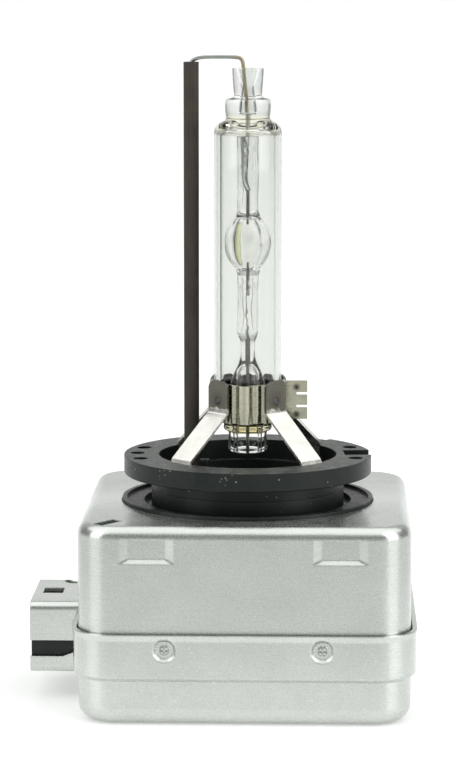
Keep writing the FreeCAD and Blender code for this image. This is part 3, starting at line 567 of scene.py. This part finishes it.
def quarter(centre, r, first, last, steps=6):
    """An arc about a centre, from one angle to another in degrees."""
    angles = [math.radians(first + (last - first) * i / steps) for i in range(steps + 1)]
    return [(centre[0] + r * math.cos(a), centre[1] + r * math.sin(a)) for a in angles]


def tidy(run):
    """The run without repeated points."""
    kept = [run[0]]
    for point in run[1:]:
        if math.dist(point, kept[-1]) > 1e-4:
            kept.append(point)
    return kept


print("outline helpers ready")

# %% [markdown]
# An outline is a list of (radius, height) points in millimetres. The lathe
# turns it about Z and asks a wander function where each point really lies,
# so the same outline can give a true drawn tube or a worked, slightly oval
# one. Each skin is turned on its own, because only then does Blender know
# which way its faces should look.

# %% Lathe
def lathe(body, run, inward, wander, sides=128):
    """Turns a run that starts and ends on the axis, or closes on itself, and adds it to the body."""
    skin = bmesh.new()
    rings = []
    for r, z in run:
        count = 1 if r < 1e-6 else sides
        rings.append([skin.verts.new(wander(r, z, 2 * math.pi * i / sides)) for i in range(count)])
    closed = len(rings[0]) > 1
    pairs = list(zip(rings, rings[1:])) + ([(rings[-1], rings[0])] if closed else [])
    for low, high in pairs:
        for i in range(sides):
            j = (i + 1) % sides
            corners = [low[i % len(low)], low[j % len(low)], high[j % len(high)], high[i % len(high)]]
            skin.faces.new(list(dict.fromkeys(corners)))
    bmesh.ops.recalc_face_normals(skin, faces=skin.faces)
    if inward:
        bmesh.ops.reverse_faces(skin, faces=skin.faces)
    turned = bpy.data.meshes.new("skin")
    skin.to_mesh(turned)
    skin.free()
    body.from_mesh(turned)
    bpy.data.meshes.remove(turned)


def steady(r, z, a):
    """A point of a true surface of revolution."""
    return (r * math.cos(a) * MM, r * math.sin(a) * MM, z * MM)


def worked(r, z, a):
    """A point of a flame-worked surface: slightly oval, with a centre that drifts."""
    x, y = r * math.cos(a), r * math.sin(a)
    drift = noise.noise_vector(Vector((3.1, 7.7, z * 0.35))) * 0.10
    swell = 1 + 0.05 * noise.noise(Vector((math.cos(a) * 0.6, math.sin(a) * 0.6, z * 0.55)))
    return ((x * swell + drift.x) * MM, (y * swell + drift.y) * MM, z * MM)


print("lathe ready")

# %% [markdown]
# The frame gives the ends and radius of the tube, the ends of the burner and
# the height of the arc. The sizes inside the quartz can't be read from any
# box, so they are named here, in millimetres. The shapes that follow build
# on them, from the foot of the tube up to the top of the tip.

# %% Quartz sizes
arc_mm, tube_mm = arc_z / MM, tube_r / MM
foot, collar_top = tube_low.z / MM, tube_high.z / MM
collar_low = collar_top - 2.45
head = collar_low - 1.15
tip_top, tail_end = burner_high.z / MM, burner_low.z / MM
bore_floor = collar_low + 0.5
tip_bore_r, tip_r, lip_r = 1.06, 2.03, 0.12
leg_r, pinch_r, tail_r, tail_bore_r = 1.34, 0.93, 2.5, 1.45
tail_corner_r, tail_bore_corner_r = 0.4, 0.2
inner_r = tube_mm - 0.93
vessel_r, vessel_half, neck_lift = 3.0, 3.84, 3.75
hollow_r, hollow_half, hollow_shift = 1.66, 3.2, -0.07
foil_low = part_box("lower_foil")[0].z / MM
dome = 11.75
print("tube", round(tube_mm, 2), "mm in radius, from", round(foot, 2), "to", round(head, 2), "mm")

# %% [markdown]
# The outer skin is everything that the air outside can touch. It is one line
# in three stretches: the open tip with its bore, the tube with its collar,
# soft shoulder and fused rim, and the tail tube with its own bore.

# %% Outer skin
def tip_run():
    """Up the tip's bore, over its lip and down its outside to the collar."""
    run = [(0, bore_floor - 0.1), (0.5, bore_floor - 0.05)]
    run += soft([(0.80, bore_floor + 0.05), (0.88, bore_floor + 0.4), (0.77, tip_top - 4.2),
                 (0.58, tip_top - 2.4), (0.76, tip_top - 1.4), (tip_bore_r, tip_top - lip_r)])
    run += quarter((tip_bore_r + lip_r, tip_top - lip_r), lip_r, 180, 90, 4)
    run += quarter((tip_r - lip_r, tip_top - lip_r), lip_r, 90, 0, 4)
    return run + soft([(tip_r, tip_top - 0.3), (1.93, tip_top - 1.9), (1.82, collar_top + 0.5),
                       (1.95, collar_top + 0.12)])


def tube_run():
    """Over the collar and the shoulder, down the tube and round the fused rim."""
    run = soft([(2.35, collar_top), (2.78, collar_top - 0.14), (2.95, collar_top - 0.6),
                (2.93, collar_top - 1.5), (2.84, collar_low + 0.12), (2.88, collar_low - 0.2),
                (3.2, collar_low - 0.45), (3.7, collar_low - 0.68), (4.1, collar_low - 1.1),
                (tube_mm - 0.04, collar_low - 1.65), (tube_mm, collar_low - 2.2)])
    run += straight((tube_mm, collar_low - 2.3), (tube_mm, foot + 2.3), 1.0)
    return run + soft([(tube_mm, foot + 2.2), (4.0, foot + 1.55), (3.3, foot + 1.05), (3.1, foot + 0.75),
                       (3.13, foot + 0.4), (2.98, foot + 0.1), (2.7, foot), (tail_r + 0.04, foot - 0.12),
                       (tail_r, foot - 0.4)])


def tail_run():
    """Down the tail tube, round its end and up its bore to the dome."""
    corner, bore_corner = tail_corner_r, tail_bore_corner_r
    run = straight((tail_r, foot - 0.4), (tail_r, tail_end + 0.45), 0.5)
    run += quarter((tail_r - corner, tail_end + corner), corner, 0, -90, 6)
    run += quarter((tail_bore_r + bore_corner, tail_end + bore_corner), bore_corner, 270, 180, 4)
    run += straight((tail_bore_r, tail_end + 0.25), (tail_bore_r, dome - 3.6), 0.6)
    run += soft([(tail_bore_r, dome - 3.6), (1.38, dome - 2.4), (1.05, dome - 1.2), (0.5, dome - 0.25)])
    return run + [(0, dome)]


outer_skin = tidy(tip_run() + tube_run() + tail_run())
print("outer skin", len(outer_skin), "points")

# %% [markdown]
# Two hollows are closed off from that air: the ring-shaped gap between the
# tubes, whose inner side follows the burner's legs and vessel, and the egg in
# which the arc burns. Their skins face inwards, which makes them hollows in
# the glass. Only the burner's side is allowed to wander, because the outer
# tube is drawn by machine and stays true.

# %% Inner skins
def gap_skin():
    """The hollow between the tubes, closed on itself."""
    low, high, corner = foot + 3.6, head - 0.35, 0.8
    run = quarter((inner_r - corner, low + corner), corner, -90, 0)
    run += straight((inner_r, low + 0.85), (inner_r, high - 0.85), 1.0)
    run += quarter((inner_r - corner, high - corner), corner, 0, 90)
    run += soft([(2.2, high), (1.62, high - 0.08), (1.44, high - 0.5), (leg_r + 0.03, high - 1.1)])
    neck = arc_mm + neck_lift
    run += straight((leg_r + 0.03, high - 1.2), (leg_r, neck + 0.9), 0.4)
    run += soft([(leg_r, neck + 0.8), (leg_r + 0.02, neck + 0.35), (1.5, neck)])
    swell, steps = 3.48, 32
    for i in range(1, steps):
        s = swell * (1 - 2 * i / steps)
        run.append((vessel_r * math.sqrt(1 - (s / vessel_half) ** 2), arc_mm + s))
    neck = arc_mm - neck_lift
    run += soft([(1.5, neck), (leg_r + 0.02, neck - 0.35), (leg_r, neck - 0.8)])
    run += straight((leg_r, neck - 0.9), (leg_r, foil_low + 0.6), 0.4)
    run += soft([(leg_r, foil_low + 0.5), (1.16, foil_low + 0.05), (0.95, foil_low - 0.5),
                 (pinch_r, foil_low - 1.4), (pinch_r, foil_low - 2.2), (1.15, dome + 0.3),
                 (2.0, dome - 1.7), (tail_r, dome - 3.1)])
    run += straight((tail_r, dome - 3.2), (tail_r, low + 0.1), 0.5)
    return tidy(run + [(tail_r + 0.08, low)])


def egg(r, half, steps):
    """Half the outline of an egg about the origin, from its lower end to its upper one."""
    angles = [math.pi * i / steps for i in range(1, steps)]
    return [(0, -half)] + [(r * math.sin(a), -half * math.cos(a)) for a in angles] + [(0, half)]


def worked_inside(r, z, a):
    """The burner's side of the gap is worked; the outer tube's side is drawn true."""
    tube_side = 3.1
    return steady(r, z, a) if r > tube_side else worked(r, z, a)


def blown(r, z, a):
    """The hollow of a hand-blown vessel is never quite in its middle."""
    x, y, z = steady(r, arc_mm + z, a)
    return (x + hollow_shift * MM, y, z)


quartz = bmesh.new()
lathe(quartz, outer_skin, False, steady)
lathe(quartz, gap_skin(), True, worked_inside)
lathe(quartz, egg(hollow_r, hollow_half, 36), True, blown)
print("three skins,", len(quartz.faces), "faces")

# %% [markdown]
# Where the soft quartz closed round the foils it left flat, glassy voids and
# a few small beads. They are what gives the legs their crumpled look, so
# each is turned as a small egg, flattened, bent by noise and faced inwards
# like the other hollows.

# %% Voids and beads
def void(body, x, y, z, half_width, half_height, turn):
    """A flattened hollow left where the soft quartz closed round a foil."""
    c, s = math.cos(turn), math.sin(turn)

    def place(r, height, a):
        waver = noise.noise_vector(Vector((x * 5, turn, height * 2.3))) * 0.12
        wide = 1 + 0.35 * noise.noise(Vector((z, x * 3, height * 2.0)))
        across = r * math.cos(a) * half_width * wide
        through = r * math.sin(a) * half_width * 0.6
        return ((x + waver.x + across * c - through * s) * MM, (y + across * s + through * c) * MM,
                (z + height * half_height) * MM)

    lathe(body, egg(1, 1, 24), True, place, 48)


voids = [(-0.66, -0.15, 7.5, 0.24, 2.6, 0.1), (-0.68, 0.0, -8.4, 0.34, 3.0, -0.2),
         (0.56, -0.1, -8.2, 0.30, 3.2, 0.2), (0.50, 0.1, 10.6, 0.16, 1.9, 0.4)]
beads = [(-0.50, 0.0, -4.9, 0.13, 0.55), (0.16, -0.35, -5.2, 0.15, 0.80),
         (0.42, 0.15, -4.7, 0.10, 0.45), (0.02, -0.40, -6.3, 0.09, 0.40)]
for x, y, lift, half_width, half_height, turn in voids + [bead + (5 * bead[0],) for bead in beads]:
    void(quartz, x, y, arc_mm + lift, half_width, half_height, turn)
quartz_body = from_bmesh("quartz_body", quartz)
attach(quartz_body, "root")
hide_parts("arc_tube", "outer_bulb")
print("quartz body", len(quartz_body.data.polygons), "faces")

# %% [markdown]
# ## The colour of quartz
#
# The burner's quartz is colourless. The tube round it is doped to stop
# ultraviolet light, which makes it a little grey. All of that grey is put on
# the tube's outer skin, so that its walls look as grey as its middle. Where
# the two tubes were fused in the flame, at the rim below and under the
# collar, the thick glass takes a straw tint, so the colour depends on height.
# A very faint drawn-line waviness bends the reflections without blurring
# what lies inside.

# %% Quartz finish
def fused_quartz():
    f = Finish("fused_quartz", IOR=1.458, Transmission_Weight=1.0)
    clear, doped, sealed = (0.995, 1.0, 0.99), (0.725, 0.742, 0.715), (0.81, 0.825, 0.805)
    straw = (0.93, 0.86, 0.60)
    place = f.axes()
    lines = f.grain((900, 900, 40), 1.0, 2.0, 0.5)
    patch = f.grain((1, 1, 1), 900, 2.0, 0.5)
    z = f.sums("ADD", place["Z"], f.ramp(patch, 0.3, 0.7, -0.2 * MM, 0.2 * MM))
    rim = f.ramp(z, (foot + 1.4) * MM, (foot + 0.9) * MM, 0.0, 1.0)
    rim = f.sums("MULTIPLY", rim, f.ramp(z, (foot - 0.4) * MM, foot * MM, 0.0, 1.0))
    crown = f.ramp(z, (head - 0.6) * MM, (head - 0.1) * MM, 0.0, 0.6)
    crown = f.sums("MULTIPLY", crown, f.ramp(z, (collar_low + 0.4) * MM, collar_low * MM, 0.0, 1.0))
    out = f.sums("SQRT", f.sums("ADD", *[f.sums("POWER", place[axis], 2.0) for axis in "XY"]))
    outside = f.ramp(out, (inner_r + 0.23) * MM, (tube_mm - 0.4) * MM, 0.0, 1.0)
    above = f.ramp(place["Z"], (head - 0.6) * MM, head * MM, 0.0, 1.0)
    body = f.mixed(above, f.mixed(outside, clear, doped), sealed)
    f.colour(f.mixed(f.sums("ADD", rim, crown), body, straw))
    f.roughness(f.ramp(patch, 0.4, 0.8, 0.0, 0.015))
    return f.relief(lines, 0.06, 0.02 * MM).material


quartz_body.data.materials.append(fused_quartz())
print("quartz finished")

# %% [markdown]
# ## Metal in the quartz
#
# Current enters the vessel through molybdenum foils pinched into the legs.
# Real foil is thinner than paper and crumples as the quartz collapses onto
# it, so flat strips look wrong. Each foil becomes a ribbon that twists and
# ripples as it climbs, with a little thickness so that it is a real solid.

# %% Foil ribbons
def ribbon(name, node, turns, ripple, offset, widths, steps=60):
    """A thin crumpled strip between a CAD foil's ends; turns in degrees, the rest in millimetres."""
    half_thick, bow = 0.02, 0.05
    low, high = (corner.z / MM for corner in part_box(node))
    verts, faces = [], []
    for i in range(steps + 1):
        t = i / steps
        z = low + (high - low) * t
        turn = math.radians(turns[0] + (turns[1] - turns[0]) * t)
        turn += 0.35 * noise.noise(Vector((1.7, 0.3, z * 0.9)))
        width = widths[0] + (widths[1] - widths[0]) * t
        width *= 1 + 0.2 * noise.noise(Vector((5.0, 0, z * 1.7)))
        side = Vector((math.cos(turn), math.sin(turn), 0))
        out = Vector((-side.y, side.x, 0))
        middle = Vector((offset * math.sin(math.pi / 2 * min(1, 3 * t)), 0, z))
        middle += out * ripple * noise.noise(Vector((0, 9.0, z * 1.3)))
        for across in (-0.5, 0, 0.5):
            crest = middle + side * across * width + out * bow * (1 - abs(across) * 2)
            verts += [(crest + out * face * half_thick) * MM for face in (-1, 1)]
    for i in range(steps):
        a, b = i * 6, (i + 1) * 6
        for k in (0, 2):
            faces.append((a + k, a + k + 2, b + k + 2, b + k))
            faces.append((a + k + 1, b + k + 1, b + k + 3, a + k + 3))
        faces += [(a, b, b + 1, a + 1), (a + 4, a + 5, b + 5, b + 4)]
    for a, order in ((0, 1), (steps * 6, -1)):
        faces += [(a + k, a + k + 1, a + k + 3, a + k + 2)[::order] for k in (0, 2)]
    piece = from_lists(name, verts, faces)
    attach(piece, "root")
    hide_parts(node)
    return piece


upper_ribbon = ribbon("upper_foil_ribbon", "upper_foil", (30, 8), 0.10, -0.3, (0.52, 0.84))
lower_ribbon = ribbon("lower_foil_ribbon", "lower_foil", (70, 96), 0.20, -0.1, (0.60, 0.50))
print("ribbons", len(upper_ribbon.data.polygons) + len(lower_ribbon.data.polygons), "faces")

# %% [markdown]
# Three metals meet here. Molybdenum is rolled or drawn and stays bright
# inside the quartz. Tungsten is darker. The lower lead is molybdenum too,
# but it burnt to a dull brown where it left the quartz, so its colour
# depends on height.

# %% Molybdenum, tungsten and the burnt lead
def drawn_metal(name, stretch, dark, light, rough, bump, metallic=1.0):
    """Metal with a fine grain along Z: the finish, and the colour of its grain."""
    f = Finish(name, Metallic=metallic)
    drawn = f.grain(stretch, 1.0, 3.0, 0.5)
    tone = f.colours(drawn, (0.3, dark), (0.7, light))
    f.colour(tone)
    f.roughness(f.ramp(drawn, 0.3, 0.7, *rough))
    f.relief(drawn, *bump)
    return f, tone


wire_grain = (4000, 4000, 300)
moly, _ = drawn_metal("molybdenum", (1500, 1500, 300), (0.42, 0.43, 0.42), (0.62, 0.63, 0.62),
                      (0.28, 0.48), (0.3, 0.03 * MM))
tungsten, _ = drawn_metal("drawn_tungsten", wire_grain, (0.16, 0.16, 0.155), (0.30, 0.30, 0.29),
                          (0.35, 0.55), (0.2, 0.02 * MM))
lead, bright = drawn_metal("oxidised_lead", wire_grain, (0.26, 0.26, 0.25), (0.42, 0.42, 0.40),
                           (0.4, 0.6), (0.2, 0.02 * MM), 0.6)
bare = lead.ramp(lead.axes()["Z"], tail_end * MM, (tail_end + 1.5) * MM, 1.0, 0.0)
lead.colour(lead.mixed(bare, bright, (0.020, 0.018, 0.016)))

for piece in (upper_ribbon, lower_ribbon):
    piece.data.materials.append(moly.material)
dress(moly.material, "upper_lead")
dress(lead.material, "lower_lead")
dress(tungsten.material, "upper_electrode", "lower_electrode")
print("foils, leads and electrodes done")

# %% [markdown]
# ## Frozen salts
#
# When the lamp is cold its metal salts freeze as a yellow-green film on one
# side of the vessel. It has no sharp outline: it thins away at its edges, so
# it is built as a lens of two skins that meet all round, following the
# hollow's curve.

# %% Salt film
def salt_film(middle=204.0, spread=42.0, tall=2.45, thick=0.08, rows=28, columns=20):
    """A tapering patch on the vessel's inner wall; angles in degrees, the rest in millimetres."""
    clear_of_wall = 0.02
    verts, faces = [], []
    for depth in (0.0, 1.0):
        for i in range(rows + 1):
            for j in range(columns + 1):
                u, v = 2 * j / columns - 1, 2 * i / rows - 1
                s = v * tall
                fade = max(0.0, 1 - u * u) * max(0.0, 1 - v * v)
                lumps = 1 + 0.5 * noise.noise(Vector((u * 2.2, v * 3.0, 4.0)))
                r = hollow_r * math.sqrt(1 - (s / hollow_half) ** 2) - clear_of_wall
                r -= depth * thick * fade * lumps
                ragged = 1 + 0.15 * noise.noise(Vector((v * 2, 8.0, 0)))
                verts.append(blown(r, s, math.radians(middle + spread * u * ragged)))
    across = columns + 1
    skin_size = (rows + 1) * across
    for i in range(rows):
        for j in range(columns):
            a = i * across + j
            faces.append((a, a + across, a + across + 1, a + 1))
            faces.append(tuple(skin_size + k for k in (a, a + 1, a + across + 1, a + across)))
    piece = from_lists("salt_film", verts, faces)
    welded = bmesh.new()
    welded.from_mesh(piece.data)
    bmesh.ops.remove_doubles(welded, verts=welded.verts, dist=1e-7)
    bmesh.ops.recalc_face_normals(welded, faces=welded.faces)
    welded.to_mesh(piece.data)
    welded.free()
    return piece


salts = salt_film()
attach(salts, "root")
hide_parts("salt_deposit")
print("salt film", len(salts.data.polygons), "faces")


# %% Salt finish
def frozen_salts():
    f = Finish("frozen_salts", Transmission_Weight=0.95, IOR=1.12)
    crystals = f.grain((1, 1, 1), 2400, 4.0, 0.6)
    f.colour(f.colours(crystals, (0.3, (1.0, 0.99, 0.56)), (0.7, (1.0, 1.0, 0.82))))
    f.roughness(f.ramp(crystals, 0.3, 0.7, 0.45, 0.7))
    return f.relief(crystals, 0.4, 0.04 * MM).material


salts.data.materials.append(frozen_salts())
print("salts finished")

# %% [markdown]
# ## Return wire
#
# The wire leaves the ceramic tube, bends by hand towards the burner and dips
# into the tip. A hand-bent wire has slow, uneven bends, so it is a smooth
# curve through a few points rather than straight runs with equal arcs.

# %% Wire
wire_low, wire_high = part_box("return_wire")
rod_low, rod_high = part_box("ceramic_tube")
wire_r = (wire_high.y - wire_low.y) / 2
rod_x, rod_top = (rod_low.x + rod_high.x) / 2 / MM, rod_high.z / MM
top = (wire_high.z - wire_r) / MM
route = [(rod_x, wire_low.z / MM), (rod_x, -20), (rod_x, 10), (rod_x, rod_top - 1.0), (rod_x, rod_top - 0.1),
         (rod_x + 0.25, top - 0.35), (rod_x + 1.2, top - 0.05), (rod_x + 3.2, top), (-1.9, top - 0.03),
         (-0.95, top - 0.1), (-0.62, top - 0.7), (-0.55, tip_top - 0.6), (-0.38, tip_top - 2.2),
         (-0.2, tip_top - 4.0), (-0.16, bore_floor + 0.2)]
line = bpy.data.curves.new("return_wire_bent", "CURVE")
line.dimensions = "3D"
line.bevel_depth = wire_r
line.bevel_resolution = 6
line.resolution_u = 12
line.use_fill_caps = True
spline = line.splines.new("NURBS")
spline.points.add(len(route) - 1)
for point, (x, z) in zip(spline.points, route):
    point.co = (x * MM, 0, z * MM, 1)
spline.order_u = 3
spline.use_endpoint_u = True
bent = bpy.data.objects.new("return_wire_curve", line)
bpy.context.scene.collection.objects.link(bent)
depsgraph = bpy.context.evaluated_depsgraph_get()
mesh = bpy.data.meshes.new_from_object(bent.evaluated_get(depsgraph))
bpy.data.objects.remove(bent)
return_wire = add_piece("return_wire_bent", mesh)
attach(return_wire, "root")
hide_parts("return_wire")
print("return wire", len(mesh.polygons), "faces")


# %% Wire finish
def drawn_wire():
    """Steel grey, with a warm tint near the tip, where the flame heated it."""
    f = Finish("drawn_wire", Metallic=1.0)
    drawn = f.grain((300, 4000, 4000), 1.0, 3.0, 0.5)
    tinting = f.ramp(f.axes()["X"], -2.2 * MM, -0.7 * MM, 0.0, 1.0)
    steel = f.colours(drawn, (0.3, (0.30, 0.32, 0.30)), (0.7, (0.46, 0.48, 0.45)))
    f.colour(f.mixed(tinting, steel, (0.40, 0.34, 0.22)))
    f.roughness(f.ramp(drawn, 0.3, 0.7, 0.3, 0.45))
    return f.relief(drawn, 0.2, 0.02 * MM).material


mesh.materials.clear()
mesh.materials.append(drawn_wire())
print("wire finished")

# %% [markdown]
# ## Eyelet in the well
#
# A short moulded sleeve stands in the well beside the return tube. Its rim is
# polished by the pin that pushed it home, so it catches the light.

# %% Eyelet
def sleeve(name, x, y, low, high, outer, inner):
    """A tube with a rounded upper rim, turned about its own axis."""
    lip = (outer - inner) / 2
    run = [(inner, low), (outer, low), (outer, high - lip)]
    run += quarter(((outer + inner) / 2, high - lip), lip, 0, 180, 8) + [(inner, high - lip)]

    def place(r, z, a):
        return ((x + r * math.cos(a)) * MM, (y + r * math.sin(a)) * MM, z * MM)

    body = bmesh.new()
    lathe(body, tidy(run), False, place, 48)
    return from_bmesh(name, body)


eyelet = sleeve("well_eyelet", -5.75, 4.5, -6.9, -1.5, 0.62, 0.36)
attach(eyelet, "root")
eyelet.data.materials.append(black_plastic("polished_plastic", 0.1, 0.9))
print("eyelet", len(eyelet.data.polygons), "faces")

# %% [markdown]
# ## What the box hides
#
# The igniter's parts sit inside the housing and show only when it is taken
# apart, or a little through the socket's mouth. They still get honest
# finishes: stamped brass, enamelled copper, bobbin plastic, sintered ferrite,
# a dipped case, lacquered film, bare ceramic and cast rubber.

# %% Hidden parts
def speckled(name, dark, light, scale, rough, metal=0.0, stretch=(1, 1, 1), **more):
    """One noise drives colour, roughness and relief."""
    f = Finish(name, Metallic=metal, **more)
    pattern = f.grain(stretch, scale, 4.0, 0.55)
    f.colour(f.colours(pattern, (0.3, dark), (0.7, light)))
    f.roughness(f.ramp(pattern, 0.3, 0.7, *rough))
    return f.relief(pattern, 0.2, 0.03 * MM).material


brass = speckled("stamped_brass", (0.60, 0.44, 0.18), (0.78, 0.62, 0.32), 1200, (0.25, 0.4),
                 1.0, (3, 3, 1))
copper = speckled("enamelled_copper", (0.48, 0.20, 0.09), (0.72, 0.38, 0.20), 1.0, (0.2, 0.35),
                  1.0, (900, 9000, 900))
bobbin = speckled("bobbin_plastic", (0.52, 0.48, 0.36), (0.66, 0.62, 0.50), 1600, (0.4, 0.55))
ferrite = speckled("sintered_ferrite", (0.02, 0.02, 0.022), (0.05, 0.05, 0.055), 2600, (0.5, 0.7))
blue_dip = speckled("dipped_case", (0.02, 0.07, 0.22), (0.05, 0.13, 0.34), 700, (0.12, 0.22),
                    Coat_Weight=0.4)
lacquer = speckled("lacquered_film", (0.28, 0.42, 0.48), (0.42, 0.58, 0.62), 1800, (0.2, 0.35))
bisque = speckled("white_ceramic", (0.70, 0.68, 0.62), (0.84, 0.82, 0.78), 2200, (0.45, 0.65))
rubber = speckled("potting_rubber", (0.035, 0.032, 0.03), (0.06, 0.055, 0.05), 900, (0.35, 0.55))

dress(brass, "contact_pin_supply", "contact_pin_lamp", "contact_pin_return", "supply_strip", "lamp_strip",
      "return_strip", "spark_gap_caps", "return_terminal", "high_voltage_terminal")
dress(copper, "primary_winding", "secondary_winding")
dress(bobbin, "coil_bobbin")
dress(ferrite, "ferrite_core")
dress(blue_dip, "ignition_capacitor")
dress(lacquer, "bleed_resistor")
dress(bisque, "spark_gap_body")
dress(rubber, "potting_compound")
print("hidden parts finished")

# %% [markdown]
# ## The floor
#
# The sweep is matt white paper. Paper alone can't be white behind the glass
# and still leave the box its shape, because more light on the paper is more
# light on the box. A catalogue table solves this with a lamp under the
# paper, and so does this one: the paper glows faintly in a wedge that starts
# just in front of the lamp, widens towards the back and fades up the wall.

# %% Floor paper
def floor_paper():
    f = Finish("floor_paper", Specular_IOR_Level=0.2, Emission_Color=(1, 1, 1, 1))
    place = f.axes()
    near = f.ramp(place["Y"], -0.070, -0.040, 0.0, 0.34)
    behind = f.sums("ADD", near, f.ramp(place["Y"], 0.2, 1.6, 0.0, 0.26))
    wedge = f.ramp(place["Y"], 0.1, 1.6, 0.0, 1.9)
    beside = f.sums("SUBTRACT", f.sums("ABSOLUTE", place["X"]), wedge)
    within = f.ramp(beside, 0.045, 0.11, 1.0, 0.0)
    low = f.ramp(place["Z"], 0.05, 0.55, 1.0, 0.3)
    glow = f.sums("MULTIPLY", f.sums("MULTIPLY", behind, within), low)
    f.link(glow, f.shader.inputs["Emission Strength"])
    fibre = f.grain((1, 1, 1), 900, 3.0, 0.5)
    f.colour(f.colours(fibre, (0.3, (0.72, 0.725, 0.72)), (0.7, (0.76, 0.765, 0.76))))
    f.roughness(f.ramp(fibre, 0.3, 0.7, 0.75, 0.9))
    return f.relief(fibre, 0.05, 0.1 * MM).material


sweep.data.materials.append(floor_paper())
print("floor finished")
